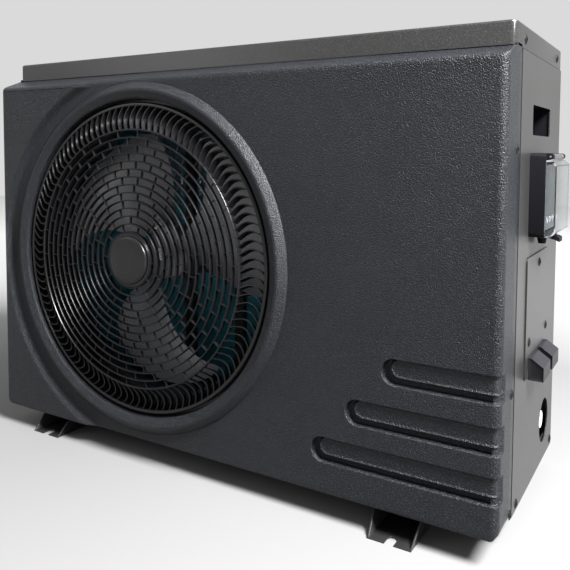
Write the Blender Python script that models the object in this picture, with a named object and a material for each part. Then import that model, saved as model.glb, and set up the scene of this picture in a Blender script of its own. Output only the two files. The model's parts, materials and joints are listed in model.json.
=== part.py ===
"""Pool heat pump: a floor-standing outdoor unit, about 0.92 x 0.37 x 0.66 m.

A moulded front panel carries the fan grille. Behind it stand the axial fan, the
finned coil and, on the right of a partition, the refrigerant and water circuits.
The right side carries a carry handle, a lidded controller, an access cover with
two cable hoods, and the water inlet.

Lengths are in metres. Every size below is in cabinet coordinates: x runs right
from the cabinet's left side, y runs back from the front panel's flat face, and z
runs up from the cabinet's underside. The empty called cabinet_frame carries all
objects and sets the middle of the footprint, at the soles of the feet, at the
world's origin.
"""

import math

import bmesh
import bpy
from mathutils import Vector

# Cabinet
WIDTH = 0.890
DEPTH = 0.343
COVER_TOP = 0.624
COVER_EDGE = 0.594  # lower edge of the top cover's flange
SIDE_TOP = 0.5935  # top of the side and rear panels
FACE_TOP = 0.580  # where the front face turns into the sloping shoulder
SETBACK = 0.036  # the top cover starts this far behind the front face
SEAM = 0.070  # the front panel's sides end here
SEAM_GAP = 0.0015
SHEET = 0.0015  # folded steel
MOULD = 0.003  # moulded plastic
GAP = 0.0003  # between touching pieces
CORNER_R = 0.010

# Fan opening, in the front face
FAN_X, FAN_Z = 0.318, 0.294
RING_FOOT_R, RING_CREST_R, RING_LIP_R = 0.280, 0.267, 0.254
RING_CREST_Y, RING_LIP_Y, RING_BACK_Y = -0.010, -0.006, 0.012
GRILLE_R = 0.250
VANE_RING_R = 0.210
HUB_DISC_R = 0.042
GRILLE_RINGS = 8
CAP_R = 0.038
CAP_FRONT_Y = -0.0215

# Raised corners at the left of the face, ended by an arc round the fan opening
PLATEAU_X, PLATEAU_Z, PLATEAU_R = 0.313, 0.288, 0.309
PLATEAU_Y = -0.007
PLATEAU_SLOPE = 0.016
PLATEAU_END = 0.290  # the arc's slope has run out here

# Three mock louvres, low on the right of the face
LOUVRES = ((0.740, 0.167), (0.689, 0.104), (0.640, 0.043))  # left end x, bottom z
LOUVRE_H = 0.036
LOUVRE_STEP = 0.004  # depth of the tongue below the face
LOUVRE_SLOT = 0.0095  # height of the slot under the tongue
LOUVRE_DEPTH = 0.010
LOUVRE_BACK = 0.0135

# Feet
FOOT_H = 0.037
FOOT_WEB = 0.060
FOOT_TOP = 0.069
FOOT_T = 0.002
FOOT_FRONT = -0.010
FOOT_REAR = DEPTH + 0.010
FOOT_X = (0.109, 0.757)
SLOT_W, SLOT_L = 0.013, 0.018

# Fan, motor and coil
HUB_FRONT_Y, HUB_BACK_Y, HUB_R = 0.066, 0.116, 0.046
BLADE_R = 0.218
BLADES = 3
SHAFT_R = 0.006
MOTOR_Y0, MOTOR_Y1, MOTOR_R = 0.136, 0.206, 0.049
SHROUD_R = 0.228
COIL_T = 0.030
COIL_X0, COIL_X1 = 0.012, 0.598
COIL_Y0, COIL_Y1 = 0.086, 0.330
COIL_Z0, COIL_Z1 = 0.006, 0.578
PARTITION_X = 0.612

# Water circuit
TANK_X, TANK_Y, TANK_R = 0.800, 0.256, 0.050
TANK_Z0, TANK_Z1 = 0.024, 0.440
INLET_Y, INLET_Z = 0.276, 0.060
OUTLET_Z = 0.400
PORT_HOLE_R = 0.033
NUT_R, TAIL_R, NECK_R, TAIL_BORE = 0.027, 0.0125, 0.0105, 0.0085

# Compressor
COMP_X, COMP_Y, COMP_R = 0.700, 0.130, 0.056
COMP_Z0, COMP_Z1 = 0.022, 0.250

# Right side fittings
HANDLE_Y0, HANDLE_Y1, HANDLE_Z0, HANDLE_Z1 = 0.141, 0.261, 0.489, 0.529
HANDLE_DEPTH = 0.026
ACCESS_Y0, ACCESS_Y1, ACCESS_Z0, ACCESS_Z1 = 0.123, 0.270, 0.162, 0.327
HOOD_Y = (0.140, 0.205)
HOOD_W, HOOD_OUT = 0.048, 0.020
HOOD_Z0, HOOD_Z1 = 0.1605, 0.1905
BOX_Y0, BOX_Y1, BOX_Z0, BOX_Z1 = 0.128, 0.228, 0.3545, 0.4655
BOX_OUT = 0.0195
LID_OUT = 0.0330
LID_WALL = 0.0018
LID_PIN_X, LID_PIN_Z = WIDTH + 0.0245, 0.4610
LATCH_X, LATCH_Z = WIDTH + 0.0220, 0.3515

FRONT_MOST = CAP_FRONT_Y
BACK_MOST = FOOT_REAR
CENTRE = Vector(((WIDTH + LID_OUT) / 2, (FRONT_MOST + BACK_MOST) / 2, -FOOT_H))

MATERIALS = {
    "shell_plastic": ((0.030, 0.031, 0.033), 0.0, 0.50),
    "cabinet_paint": ((0.032, 0.033, 0.034), 0.0, 0.42),
    "grille_plastic": ((0.022, 0.022, 0.023), 0.0, 0.45),
    "foot_paint": ((0.020, 0.020, 0.020), 0.0, 0.50),
    "fan_plastic": ((0.045, 0.046, 0.048), 0.0, 0.45),
    "blue_fins": ((0.060, 0.260, 0.330), 0.6, 0.40),
    "zinc_steel": ((0.420, 0.430, 0.430), 1.0, 0.42),
    "motor_black": ((0.030, 0.030, 0.032), 0.2, 0.45),
    "copper": ((0.720, 0.330, 0.200), 1.0, 0.30),
    "brass": ((0.700, 0.520, 0.240), 1.0, 0.30),
    "compressor_paint": ((0.020, 0.020, 0.020), 0.0, 0.40),
    "rubber": ((0.020, 0.020, 0.020), 0.0, 0.80),
    "tank_plastic": ((0.110, 0.115, 0.120), 0.0, 0.50),
    "white_plastic": ((0.780, 0.780, 0.760), 0.0, 0.40),
    "fitting_plastic": ((0.018, 0.018, 0.020), 0.0, 0.40),
    "circuit_board": ((0.030, 0.180, 0.080), 0.0, 0.50),
    "display_face": ((0.012, 0.013, 0.016), 0.0, 0.15),
    "button_plastic": ((0.350, 0.360, 0.380), 0.0, 0.40),
    "clear_plastic": ((0.800, 0.860, 0.880), 0.0, 0.08),
}
ALPHA = {"clear_plastic": 0.35}
SHARP = math.radians(32)
AXES = {"X": (1, 2, 0), "Y": (0, 2, 1), "Z": (0, 1, 2)}  # outline's two axes, then its own


# ---------------------------------------------------------------- making shapes


def clear_scene():
    for obj in list(bpy.data.objects):
        bpy.data.objects.remove(obj)


def material(slot):
    if slot in bpy.data.materials:
        return bpy.data.materials[slot]
    colour, metallic, roughness = MATERIALS[slot]
    made = bpy.data.materials.new(slot)
    made.use_nodes = True
    shader = made.node_tree.nodes["Principled BSDF"]
    shader.inputs["Base Color"].default_value = (*colour, 1.0)
    shader.inputs["Metallic"].default_value = metallic
    shader.inputs["Roughness"].default_value = roughness
    shader.inputs["Alpha"].default_value = ALPHA.get(slot, 1.0)
    made.diffuse_color = (*colour, 1.0)
    return made


def place(axis, u, v, w):
    """A point from its place in an outline's plane (u, v) and along the axis (w)."""
    point = [0.0, 0.0, 0.0]
    for index, value in zip(AXES[axis], (u, v, w)):
        point[index] = value
    return point


def arc(centre_u, centre_v, radius, start, end, steps):
    """Points along an arc, by angles in degrees, both ends included."""
    turns = [math.radians(start + (end - start) * i / steps) for i in range(steps + 1)]
    return [(centre_u + radius * math.cos(a), centre_v + radius * math.sin(a)) for a in turns]


def rounded(u0, v0, u1, v1, radius, steps=3):
    """The outline of a rectangle with round corners."""
    corners = ((u1 - radius, v0 + radius, -90), (u1 - radius, v1 - radius, 0),
               (u0 + radius, v1 - radius, 90), (u0 + radius, v0 + radius, 180))
    points = []
    for u, v, start in corners:
        points += arc(u, v, radius, start, start + 90, steps)
    return points


def prism(bm, outline, axis, low, high):
    """Extrudes an outline along an axis, as a closed solid."""
    ends = [[bm.verts.new(place(axis, u, v, w)) for u, v in outline] for w in (low, high)]
    bm.faces.new(ends[0])
    bm.faces.new(ends[1])
    for i in range(len(outline)):
        j = (i + 1) % len(outline)
        bm.faces.new((ends[0][i], ends[0][j], ends[1][j], ends[1][i]))


def block(bm, low, high):
    prism(bm, [(low[0], low[1]), (high[0], low[1]), (high[0], high[1]), (low[0], high[1])],
          "Z", low[2], high[2])


def turned(bm, profile, axis, u, v, segments=32):
    """Turns a closed profile of (radius, place along the axis) round a line through (u, v)."""
    rings = []
    for radius, along in profile:
        if radius == 0:
            rings.append([bm.verts.new(place(axis, u, v, along))])
            continue
        turns = [2 * math.pi * i / segments for i in range(segments)]
        rings.append([bm.verts.new(place(axis, u + radius * math.cos(a), v + radius * math.sin(a),
                                         along)) for a in turns])
    for ring, after in zip(rings, rings[1:] + rings[:1]):
        for i in range(segments):
            j = (i + 1) % segments
            corners = [ring[i % len(ring)], ring[j % len(ring)],
                       after[j % len(after)], after[i % len(after)]]
            corners = list(dict.fromkeys(corners))
            if len(corners) > 2:
                bm.faces.new(corners)


def rod(bm, axis, u, v, radius, low, high, segments=16):
    turned(bm, [(0, low), (radius, low), (radius, high), (0, high)], axis, u, v, segments)


def solid(name, bm, slot, origin=(0, 0, 0), parent=None):
    """Makes the object that a bmesh in cabinet coordinates describes."""
    bmesh.ops.recalc_face_normals(bm, faces=bm.faces)
    bmesh.ops.translate(bm, verts=bm.verts, vec=-Vector(origin))
    mesh = bpy.data.meshes.new(name)
    bm.to_mesh(mesh)
    bm.free()
    mesh.shade_smooth()
    mesh.set_sharp_from_angle(angle=SHARP)
    obj = bpy.data.objects.new(name, mesh)
    bpy.context.scene.collection.objects.link(obj)
    mesh.materials.append(material(slot))
    obj.parent = parent or bpy.data.objects["cabinet_frame"]
    obj.location = Vector(origin) - (Vector(parent["at"]) if parent else Vector())
    return obj


def pivot(name, at):
    """An empty on a joint's axis, which carries the pieces that move together."""
    empty = bpy.data.objects.new(name, None)
    empty.empty_display_size = 0.02
    bpy.context.scene.collection.objects.link(empty)
    empty.parent = bpy.data.objects["cabinet_frame"]
    empty.location = at
    empty["at"] = at
    return empty


def helper(name, bm):
    """A shape that only cuts or joins."""
    obj = solid(name, bm, "zinc_steel")
    obj.hide_render = True
    obj.display_type = "WIRE"
    return obj


def combine(obj, operation, bm, label):
    """Cuts a shape from an object, or joins it on."""
    tool = helper(f"{obj.name}.{label}", bm)
    modifier = obj.modifiers.new(label, "BOOLEAN")
    modifier.operation = operation
    modifier.solver = "EXACT"
    modifier.object = tool


def cut(obj, bm, label):
    combine(obj, "DIFFERENCE", bm, label)


def join(obj, bm, label):
    combine(obj, "UNION", bm, label)


def bevel(bm, chosen, width, segments):
    """Rounds the edges that a test on their two ends picks."""
    edges = [edge for edge in bm.edges if all(chosen(vert.co) for vert in edge.verts)]
    bmesh.ops.bevel(bm, geom=edges, offset=width, segments=segments, profile=0.5,
                    affect="EDGES", clamp_overlap=True)


def pipe(name, points, radius, slot="copper"):
    """A bent pipe along a smooth curve through the points, with flat ends."""
    curve = bpy.data.curves.new(name, "CURVE")
    curve.dimensions = "3D"
    curve.bevel_depth = radius
    curve.bevel_resolution = 2
    curve.use_fill_caps = True
    spline = curve.splines.new("POLY")
    path = smooth_path(points)
    spline.points.add(len(path) - 1)
    for point, place_on_path in zip(spline.points, path):
        point.co = (*place_on_path, 1.0)
    obj = bpy.data.objects.new(name, curve)
    bpy.context.scene.collection.objects.link(obj)
    curve.materials.append(material(slot))
    obj.parent = bpy.data.objects["cabinet_frame"]
    return obj


def smooth_path(points, steps=5):
    """Points along a Catmull-Rom curve that passes through every point given."""
    points = [Vector(point) for point in points]
    padded = [points[0]] + points + [points[-1]]
    path = []
    for before, start, end, after in zip(padded, padded[1:], padded[2:], padded[3:]):
        for i in range(steps):
            t = i / steps
            path.append(0.5 * (2 * start + (end - before) * t
                               + (2 * before - 5 * start + 4 * end - after) * t * t
                               + (3 * start - before - 3 * end + after) * t ** 3))
    return path + [points[-1]]


def lattice(bm, columns, rows, filled, point):
    """Joins the filled cells of a grid into one solid of two skins.

    point(column, row, skin) gives a corner's place, with skin 0 in front and 1 behind.
    A grid whose last column equals its first, plus a full turn, closes on itself.
    """
    wraps = columns[-1] - columns[0] == 360
    across = len(columns) - 1
    corners = {}

    def corner(i, j, skin):
        key = (i % across if wraps else i, j, skin)
        if key not in corners:
            corners[key] = bm.verts.new(point(columns[key[0]], rows[j], skin))
        return corners[key]

    def is_filled(i, j):
        if wraps:
            i %= across
        return 0 <= i < across and 0 <= j < len(rows) - 1 and filled(i, j)

    for i in range(across):
        for j in range(len(rows) - 1):
            if not is_filled(i, j):
                continue
            around = ((i, j), (i + 1, j), (i + 1, j + 1), (i, j + 1))
            for skin in (0, 1):
                bm.faces.new([corner(a, b, skin) for a, b in around])
            sides = (((i, j - 1), 0, 1), ((i + 1, j), 1, 2), ((i, j + 1), 2, 3), ((i - 1, j), 3, 0))
            for beside, a, b in sides:
                if not is_filled(*beside):
                    first, second = around[a], around[b]
                    bm.faces.new((corner(*first, 0), corner(*second, 0),
                                  corner(*second, 1), corner(*first, 1)))


# ---------------------------------------------------------------- casing


def front_panel():
    bm = bmesh.new()
    right = WIDTH - CORNER_R
    plan = [(0, SEAM)]
    plan += arc(CORNER_R, PLATEAU_Y + CORNER_R, CORNER_R, 180, 270, 4)
    plan += [(PLATEAU_END, PLATEAU_Y), (PLATEAU_END, 0)]
    plan += arc(right, CORNER_R, CORNER_R, 270, 360, 4)
    plan += [(WIDTH, SEAM)]
    prism(bm, plan, "Z", 0, SIDE_TOP)
    panel = solid("front_panel", bm, "shell_plastic")

    rise = (SIDE_TOP - FACE_TOP) / SETBACK
    over = 0.02
    bm = bmesh.new()
    prism(bm, [(-over, FACE_TOP - over * rise), (SETBACK + 0.002, SIDE_TOP + 0.002 * rise),
               (SETBACK + 0.002, SIDE_TOP + over), (-over, SIDE_TOP + over)],
          "X", -over, WIDTH + over)
    cut(panel, bm, "shoulder")

    bm = bmesh.new()
    flare = PLATEAU_SLOPE / PLATEAU_Y
    inner = PLATEAU_R - PLATEAU_SLOPE
    turned(bm, [(0, 0), (0, -over), (inner + flare * -over, -over), (inner, 0)],
           "Y", PLATEAU_X, PLATEAU_Z, 72)
    cut(panel, bm, "arc_step")

    bm = bmesh.new()
    lip = 0.0145
    prism(bm, [(MOULD, MOULD), (lip, MOULD), (lip, -over), (SEAM + over, -over),
               (SEAM + over, SIDE_TOP - MOULD), (SETBACK, SIDE_TOP - MOULD),
               (MOULD, FACE_TOP - MOULD)], "X", MOULD, WIDTH - MOULD)
    bevel(bm, lambda co: co.y < MOULD + GAP and (co.x < 0.01 or co.x > 0.1), 0.006, 2)
    cut(panel, bm, "hollow")

    bm = bmesh.new()
    rod(bm, "Y", FAN_X, FAN_Z, 0.262, -over, over, 72)
    cut(panel, bm, "fan_opening")

    bm = bmesh.new()
    turned(bm, [(RING_FOOT_R + 0.0005, 0.0015), (RING_FOOT_R, 0), (RING_CREST_R, RING_CREST_Y),
                (RING_CREST_R - 0.004, RING_CREST_Y), (RING_LIP_R, RING_LIP_Y),
                (RING_LIP_R, RING_BACK_Y), (RING_LIP_R + 0.004, RING_BACK_Y)],
           "Y", FAN_X, FAN_Z, 72)
    join(panel, bm, "ring")

    bm = bmesh.new()
    block(bm, (0.625, 0.002, 0.030), (WIDTH - 0.002, LOUVRE_BACK, 0.213))
    join(panel, bm, "louvre_backing")
    for number, (left, bottom) in enumerate(LOUVRES, 1):
        top = bottom + LOUVRE_H
        outer_r = LOUVRE_H / 2
        outer = arc(left + outer_r, bottom + outer_r, outer_r, 90, 270, 6)
        bm = bmesh.new()
        prism(bm, outer + [(WIDTH + over, bottom), (WIDTH + over, top)], "Y", -over, LOUVRE_STEP)
        cut(panel, bm, f"louvre_{number}")
        tongue_r = (LOUVRE_H - LOUVRE_SLOT) / 2
        tongue = arc(left + LOUVRE_SLOT + tongue_r, top - tongue_r, tongue_r, 270, 110, 5)
        end = WIDTH - 0.014
        bm = bmesh.new()
        prism(bm, [(end, bottom + LOUVRE_SLOT)] + tongue
              + arc(left + outer_r, bottom + outer_r, outer_r - 0.0002, 100, 270, 6)
              + [(end, bottom + 0.0002)], "Y", 0.001, LOUVRE_DEPTH)
        cut(panel, bm, f"slot_{number}")


def top_cover():
    bm = bmesh.new()
    prism(bm, rounded(0, SETBACK, WIDTH, DEPTH, 0.008), "Z", COVER_EDGE, COVER_TOP)
    bevel(bm, lambda co: co.z > COVER_TOP - GAP, 0.003, 2)
    cover = solid("top_cover", bm, "cabinet_paint")
    bm = bmesh.new()
    prism(bm, rounded(SHEET, SETBACK + SHEET, WIDTH - SHEET, DEPTH - SHEET, 0.0065), "Z",
          COVER_EDGE - 0.01, COVER_TOP - SHEET)
    cut(cover, bm, "inside")


def right_side_panel():
    bm = bmesh.new()
    start, fold = SEAM + SEAM_GAP, 0.020
    prism(bm, [(WIDTH - SHEET, start), (WIDTH, start), (WIDTH, DEPTH), (WIDTH - fold, DEPTH),
               (WIDTH - fold, DEPTH - SHEET), (WIDTH - SHEET, DEPTH - SHEET)], "Z", 0, SIDE_TOP)
    panel = solid("right_side_panel", bm, "cabinet_paint")
    inner, outer = WIDTH - 0.010, WIDTH + 0.010
    bm = bmesh.new()
    prism(bm, rounded(HANDLE_Y0, HANDLE_Z0, HANDLE_Y1, HANDLE_Z1, 0.003, 2), "X", inner, outer)
    cut(panel, bm, "handle_opening")
    bm = bmesh.new()
    rim = 0.010
    prism(bm, rounded(ACCESS_Y0 + rim, ACCESS_Z0 + rim, ACCESS_Y1 - rim, ACCESS_Z1 - rim, 0.006, 2),
          "X", inner, outer)
    cut(panel, bm, "access_opening")
    bm = bmesh.new()
    rod(bm, "X", INLET_Y, INLET_Z, PORT_HOLE_R, inner, outer, 32)
    cut(panel, bm, "inlet_opening")


def access_cover():
    bm = bmesh.new()
    prism(bm, rounded(ACCESS_Y0, ACCESS_Z0, ACCESS_Y1, ACCESS_Z1, 0.007), "X",
          WIDTH + GAP, WIDTH + GAP + SHEET)
    solid("access_cover", bm, "cabinet_paint")


def rear_panel():
    bm = bmesh.new()
    block(bm, (PARTITION_X - 0.012, DEPTH - SHEET, 0), (WIDTH - 0.0205, DEPTH, SIDE_TOP))
    panel = solid("rear_panel", bm, "cabinet_paint")
    bm = bmesh.new()
    rod(bm, "Y", TANK_X, OUTLET_Z, PORT_HOLE_R, DEPTH - 0.01, DEPTH + 0.01, 32)
    cut(panel, bm, "outlet_opening")


def rear_left_post():
    bm = bmesh.new()
    leg = 0.026
    prism(bm, [(0, DEPTH), (0, DEPTH - leg), (SHEET, DEPTH - leg), (SHEET, DEPTH - SHEET),
               (leg, DEPTH - SHEET), (leg, DEPTH)], "Z", 0, SIDE_TOP)
    solid("rear_left_post", bm, "cabinet_paint")


def bar_places(low, high, gaps, bar):
    """The edges of evenly spaced bars, with one at each end."""
    pitch = (high - low - bar) / gaps
    edges = []
    for i in range(gaps + 1):
        edges += [low + i * pitch, low + i * pitch + bar]
    return edges


def coil_guard(name, axis, low, high, front, back, columns):
    """A flat welded guard of crossing bars."""
    across = bar_places(low, high, columns, 0.004)
    up = bar_places(0.002, 0.590, 8, 0.004)
    bm = bmesh.new()
    lattice(bm, across, up, lambda i, j: i % 2 == 0 or j % 2 == 0,
            lambda u, v, skin: place(axis, u, v, (front, back)[skin]))
    solid(name, bm, "foot_paint")


def base_pan():
    bm = bmesh.new()
    inset = MOULD + 0.0005
    low, high = (inset, 0.015, 0), (WIDTH - inset, DEPTH - inset, 0.030)
    block(bm, low, high)
    pan = solid("base_pan", bm, "cabinet_paint")
    bm = bmesh.new()
    block(bm, (low[0] + SHEET, low[1] + SHEET, SHEET), (high[0] - SHEET, high[1] - SHEET, 0.05))
    cut(pan, bm, "tray")
    bm = bmesh.new()
    rod(bm, "Z", 0.450, 0.200, 0.010, -0.01, 0.01, 16)
    cut(pan, bm, "drain_hole")


def foot(name, x):
    """A hat-section rail whose flanges are cut back at 45 degrees at both ends."""
    half, top, thick = FOOT_WEB / 2, FOOT_TOP / 2, FOOT_T
    brim = 0.012
    sole, crown = -FOOT_H, -GAP
    bm = bmesh.new()
    prism(bm, [(x - half, sole), (x + half, sole), (x + top, crown - thick),
               (x + top + brim, crown - thick), (x + top + brim, crown), (x + top - thick, crown),
               (x + half - thick, sole + thick), (x - half + thick, sole + thick),
               (x - top + thick, crown), (x - top - brim, crown),
               (x - top - brim, crown - thick), (x - top, crown - thick)],
          "Y", FOOT_FRONT, FOOT_REAR)
    rail = solid(name, bm, "foot_paint")
    above = sole + thick + 0.0006
    for end, inward, label in ((FOOT_FRONT, 1, "front_end"), (FOOT_REAR, -1, "rear_end")):
        bm = bmesh.new()
        prism(bm, [(end - 0.02 * inward, above), (end + 0.002 * inward, above),
                   (end + (0.002 - above + 0.01) * inward, 0.01), (end - 0.02 * inward, 0.01)],
              "X", x - 0.06, x + 0.06)
        cut(rail, bm, label)
        bm = bmesh.new()
        far = end + (SLOT_L - SLOT_W / 2) * inward
        round_end = arc(x, far, SLOT_W / 2, 0, 180 * inward, 6)
        prism(bm, [(x + SLOT_W / 2, end - 0.01 * inward)] + round_end
              + [(x - SLOT_W / 2, end - 0.01 * inward)], "Z", sole - 0.01, sole + 0.01)
        cut(rail, bm, f"{label}_slot")


# ---------------------------------------------------------------- fan and coil


def grille_front(radius):
    """How far back the grille's front lies: a shallow dome with a steep band at its rim."""
    if radius <= VANE_RING_R:
        return -0.0175 + 0.007 * (radius / VANE_RING_R) ** 2
    return -0.0105 + 0.0135 * (radius - VANE_RING_R) / (GRILLE_R - VANE_RING_R)


def fan_grille():
    spokes, bar, depth, ring = 30, 1.4, 0.005, 0.003
    columns = []
    for i in range(spokes):
        columns += [i * 360 / spokes, i * 360 / spokes + bar]
    columns.append(360)
    rows = [HUB_DISC_R - 0.012, HUB_DISC_R]
    pitch = (VANE_RING_R - HUB_DISC_R) / GRILLE_RINGS
    for i in range(1, GRILLE_RINGS + 2):
        rows += [HUB_DISC_R + i * pitch - ring, HUB_DISC_R + i * pitch]
    rows += [GRILLE_R - 2 * ring, GRILLE_R]

    def on_dome(turn, radius, skin):
        angle = math.radians(turn)
        return (FAN_X + radius * math.cos(angle), grille_front(radius) + depth * skin,
                FAN_Z + radius * math.sin(angle))

    bm = bmesh.new()
    lattice(bm, columns, rows, lambda i, j: j % 2 == 0 or i % 2 == 0, on_dome)
    solid("fan_grille", bm, "grille_plastic")

    bm = bmesh.new()
    front = grille_front(HUB_DISC_R) - GAP
    turned(bm, [(0, CAP_FRONT_Y), (CAP_R - 0.002, CAP_FRONT_Y), (CAP_R, CAP_FRONT_Y + 0.0015),
                (CAP_R, front), (0, front)], "Y", FAN_X, FAN_Z, 32)
    solid("grille_cap", bm, "grille_plastic")


def fan_shroud():
    """The orifice that the fan turns in, with its flange against the front panel."""
    start, end, wall = RING_BACK_Y + 0.0015, 0.078, 0.0025
    bm = bmesh.new()
    turned(bm, [(0.262, start), (0.262, start + wall), (0.246, start + wall),
                (SHROUD_R + wall + 0.004, start + 0.012), (SHROUD_R + wall, start + 0.026),
                (SHROUD_R + wall, end), (SHROUD_R, end), (SHROUD_R, start + 0.024),
                (SHROUD_R + 0.004, start + 0.010), (0.243, start)], "Y", FAN_X, FAN_Z, 48)
    solid("fan_shroud", bm, "grille_plastic")


def blade(bm, turn):
    """One broad swept blade, pitched so that its leading edge lies forward."""
    across, along = 5, 7
    thick = 0.003
    skins = []
    for skin in (0, 1):
        grid = []
        for i in range(across):
            t = i / (across - 1)
            radius = HUB_R - 0.006 + t * (BLADE_R - HUB_R + 0.006)
            spread = 62 + 36 * t
            sweep = 20 * t * t
            row = []
            for j in range(along):
                s = j / (along - 1)
                angle = math.radians(turn + sweep + spread * (s - 0.5))
                camber = 0.012 * math.sin(math.pi * s)
                y = 0.106 - 0.052 * s - camber + thick * skin
                row.append(bm.verts.new((FAN_X + radius * math.cos(angle), y,
                                         FAN_Z + radius * math.sin(angle))))
            grid.append(row)
        skins.append(grid)
    for grid in skins:
        for i in range(across - 1):
            for j in range(along - 1):
                bm.faces.new((grid[i][j], grid[i + 1][j], grid[i + 1][j + 1], grid[i][j + 1]))
    front, back = skins
    edge = [(i, 0) for i in range(across)] + [(across - 1, j) for j in range(1, along)]
    edge += [(i, along - 1) for i in range(across - 2, -1, -1)]
    edge += [(0, j) for j in range(along - 2, 0, -1)]
    for (a, b), (c, d) in zip(edge, edge[1:] + edge[:1]):
        bm.faces.new((front[a][b], front[c][d], back[c][d], back[a][b]))


def fan():
    axle = pivot("fan_axle", (FAN_X, HUB_FRONT_Y, FAN_Z))
    bore = SHAFT_R + GAP
    bm = bmesh.new()
    turned(bm, [(bore, HUB_FRONT_Y), (HUB_R - 0.006, HUB_FRONT_Y), (HUB_R, HUB_FRONT_Y + 0.006),
                (HUB_R, HUB_BACK_Y), (HUB_R - 0.004, HUB_BACK_Y), (HUB_R - 0.004, HUB_FRONT_Y + 0.01),
                (0.014, HUB_FRONT_Y + 0.01), (0.014, HUB_BACK_Y), (bore, HUB_BACK_Y)],
           "Y", FAN_X, FAN_Z, 36)
    rotor = solid("fan_rotor", bm, "fan_plastic", axle["at"], axle)
    for number in range(BLADES):
        bm = bmesh.new()
        blade(bm, -102 + number * 360 / BLADES)
        join(rotor, bm, f"blade_{number + 1}")

    bm = bmesh.new()
    rod(bm, "Y", FAN_X, FAN_Z, SHAFT_R, HUB_FRONT_Y - 0.012, MOTOR_Y0 + 0.010, 16)
    solid("motor_shaft", bm, "zinc_steel", axle["at"], axle)
    bm = bmesh.new()
    hexagon = arc(FAN_X, FAN_Z, 0.011, 0, 300, 5)
    prism(bm, hexagon, "Y", HUB_FRONT_Y - 0.009, HUB_FRONT_Y - GAP)
    nut = solid("fan_nut", bm, "zinc_steel", axle["at"], axle)
    bm = bmesh.new()
    rod(bm, "Y", FAN_X, FAN_Z, bore, HUB_FRONT_Y - 0.02, HUB_FRONT_Y + 0.01)
    cut(nut, bm, "thread")


def fan_motor():
    bm = bmesh.new()
    bore = SHAFT_R + 0.0006
    turned(bm, [(0, MOTOR_Y0 + 0.014), (bore, MOTOR_Y0 + 0.014), (bore, MOTOR_Y0),
                (0.018, MOTOR_Y0), (0.020, MOTOR_Y0 + 0.006), (MOTOR_R - 0.006, MOTOR_Y0 + 0.008),
                (MOTOR_R, MOTOR_Y0 + 0.016), (MOTOR_R, MOTOR_Y1 - 0.008),
                (MOTOR_R - 0.008, MOTOR_Y1), (0, MOTOR_Y1)], "Y", FAN_X, FAN_Z, 32)
    solid("fan_motor", bm, "motor_black")


def motor_bracket():
    """Two upright channels joined by a plate behind the motor."""
    front, back = MOTOR_Y1 + GAP, MOTOR_Y1 + 0.014
    half, rail, sheet = 0.052, 0.018, 0.002
    bm = bmesh.new()
    block(bm, (FAN_X - half, front, FAN_Z - 0.055), (FAN_X + half, front + sheet, FAN_Z + 0.055))
    bracket = solid("motor_bracket", bm, "zinc_steel")
    for side, label in ((-1, "left_rail"), (1, "right_rail")):
        x = FAN_X + side * (half + rail / 2 - 0.004)
        bm = bmesh.new()
        low, high = x - rail / 2, x + rail / 2
        prism(bm, [(low, front + 0.0005), (high, front + 0.0005), (high, back),
                   (high - sheet, back), (high - sheet, front + sheet + 0.0005),
                   (low + sheet, front + sheet + 0.0005), (low + sheet, back), (low, back)],
              "Z", SHEET + GAP, 0.590)
        join(bracket, bm, label)


def evaporator_coil():
    """Fins and tubes in an L: one leg on the left side, the long leg at the rear."""
    radius, inner = 0.060, 0.060 - COIL_T
    centre_x, centre_y = COIL_X0 + radius, COIL_Y1 - radius
    outline = [(COIL_X0, COIL_Y0)] + arc(centre_x, centre_y, radius, 180, 90, 6)
    outline += [(COIL_X1, COIL_Y1), (COIL_X1, COIL_Y1 - COIL_T)]
    outline += arc(centre_x, centre_y, inner, 90, 180, 6) + [(COIL_X0 + COIL_T, COIL_Y0)]
    bm = bmesh.new()
    prism(bm, outline, "Z", COIL_Z0, COIL_Z1)
    solid("evaporator_coil", bm, "blue_fins")
    bm = bmesh.new()
    block(bm, (COIL_X1 + GAP, COIL_Y1 - COIL_T - 0.006, COIL_Z0),
          (COIL_X1 + 0.002, COIL_Y1 + 0.004, COIL_Z1))
    solid("coil_tube_plate", bm, "zinc_steel")


def partition_plate():
    bm = bmesh.new()
    front, end, fold = 0.018, 0.284, 0.014
    prism(bm, [(PARTITION_X, front), (PARTITION_X + fold, front), (PARTITION_X + fold, front + SHEET),
               (PARTITION_X + SHEET, front + SHEET), (PARTITION_X + SHEET, end),
               (PARTITION_X, end)], "Z", SHEET + GAP, FACE_TOP - 0.006)
    solid("partition_plate", bm, "zinc_steel")


# ---------------------------------------------------------------- refrigerant and water


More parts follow.
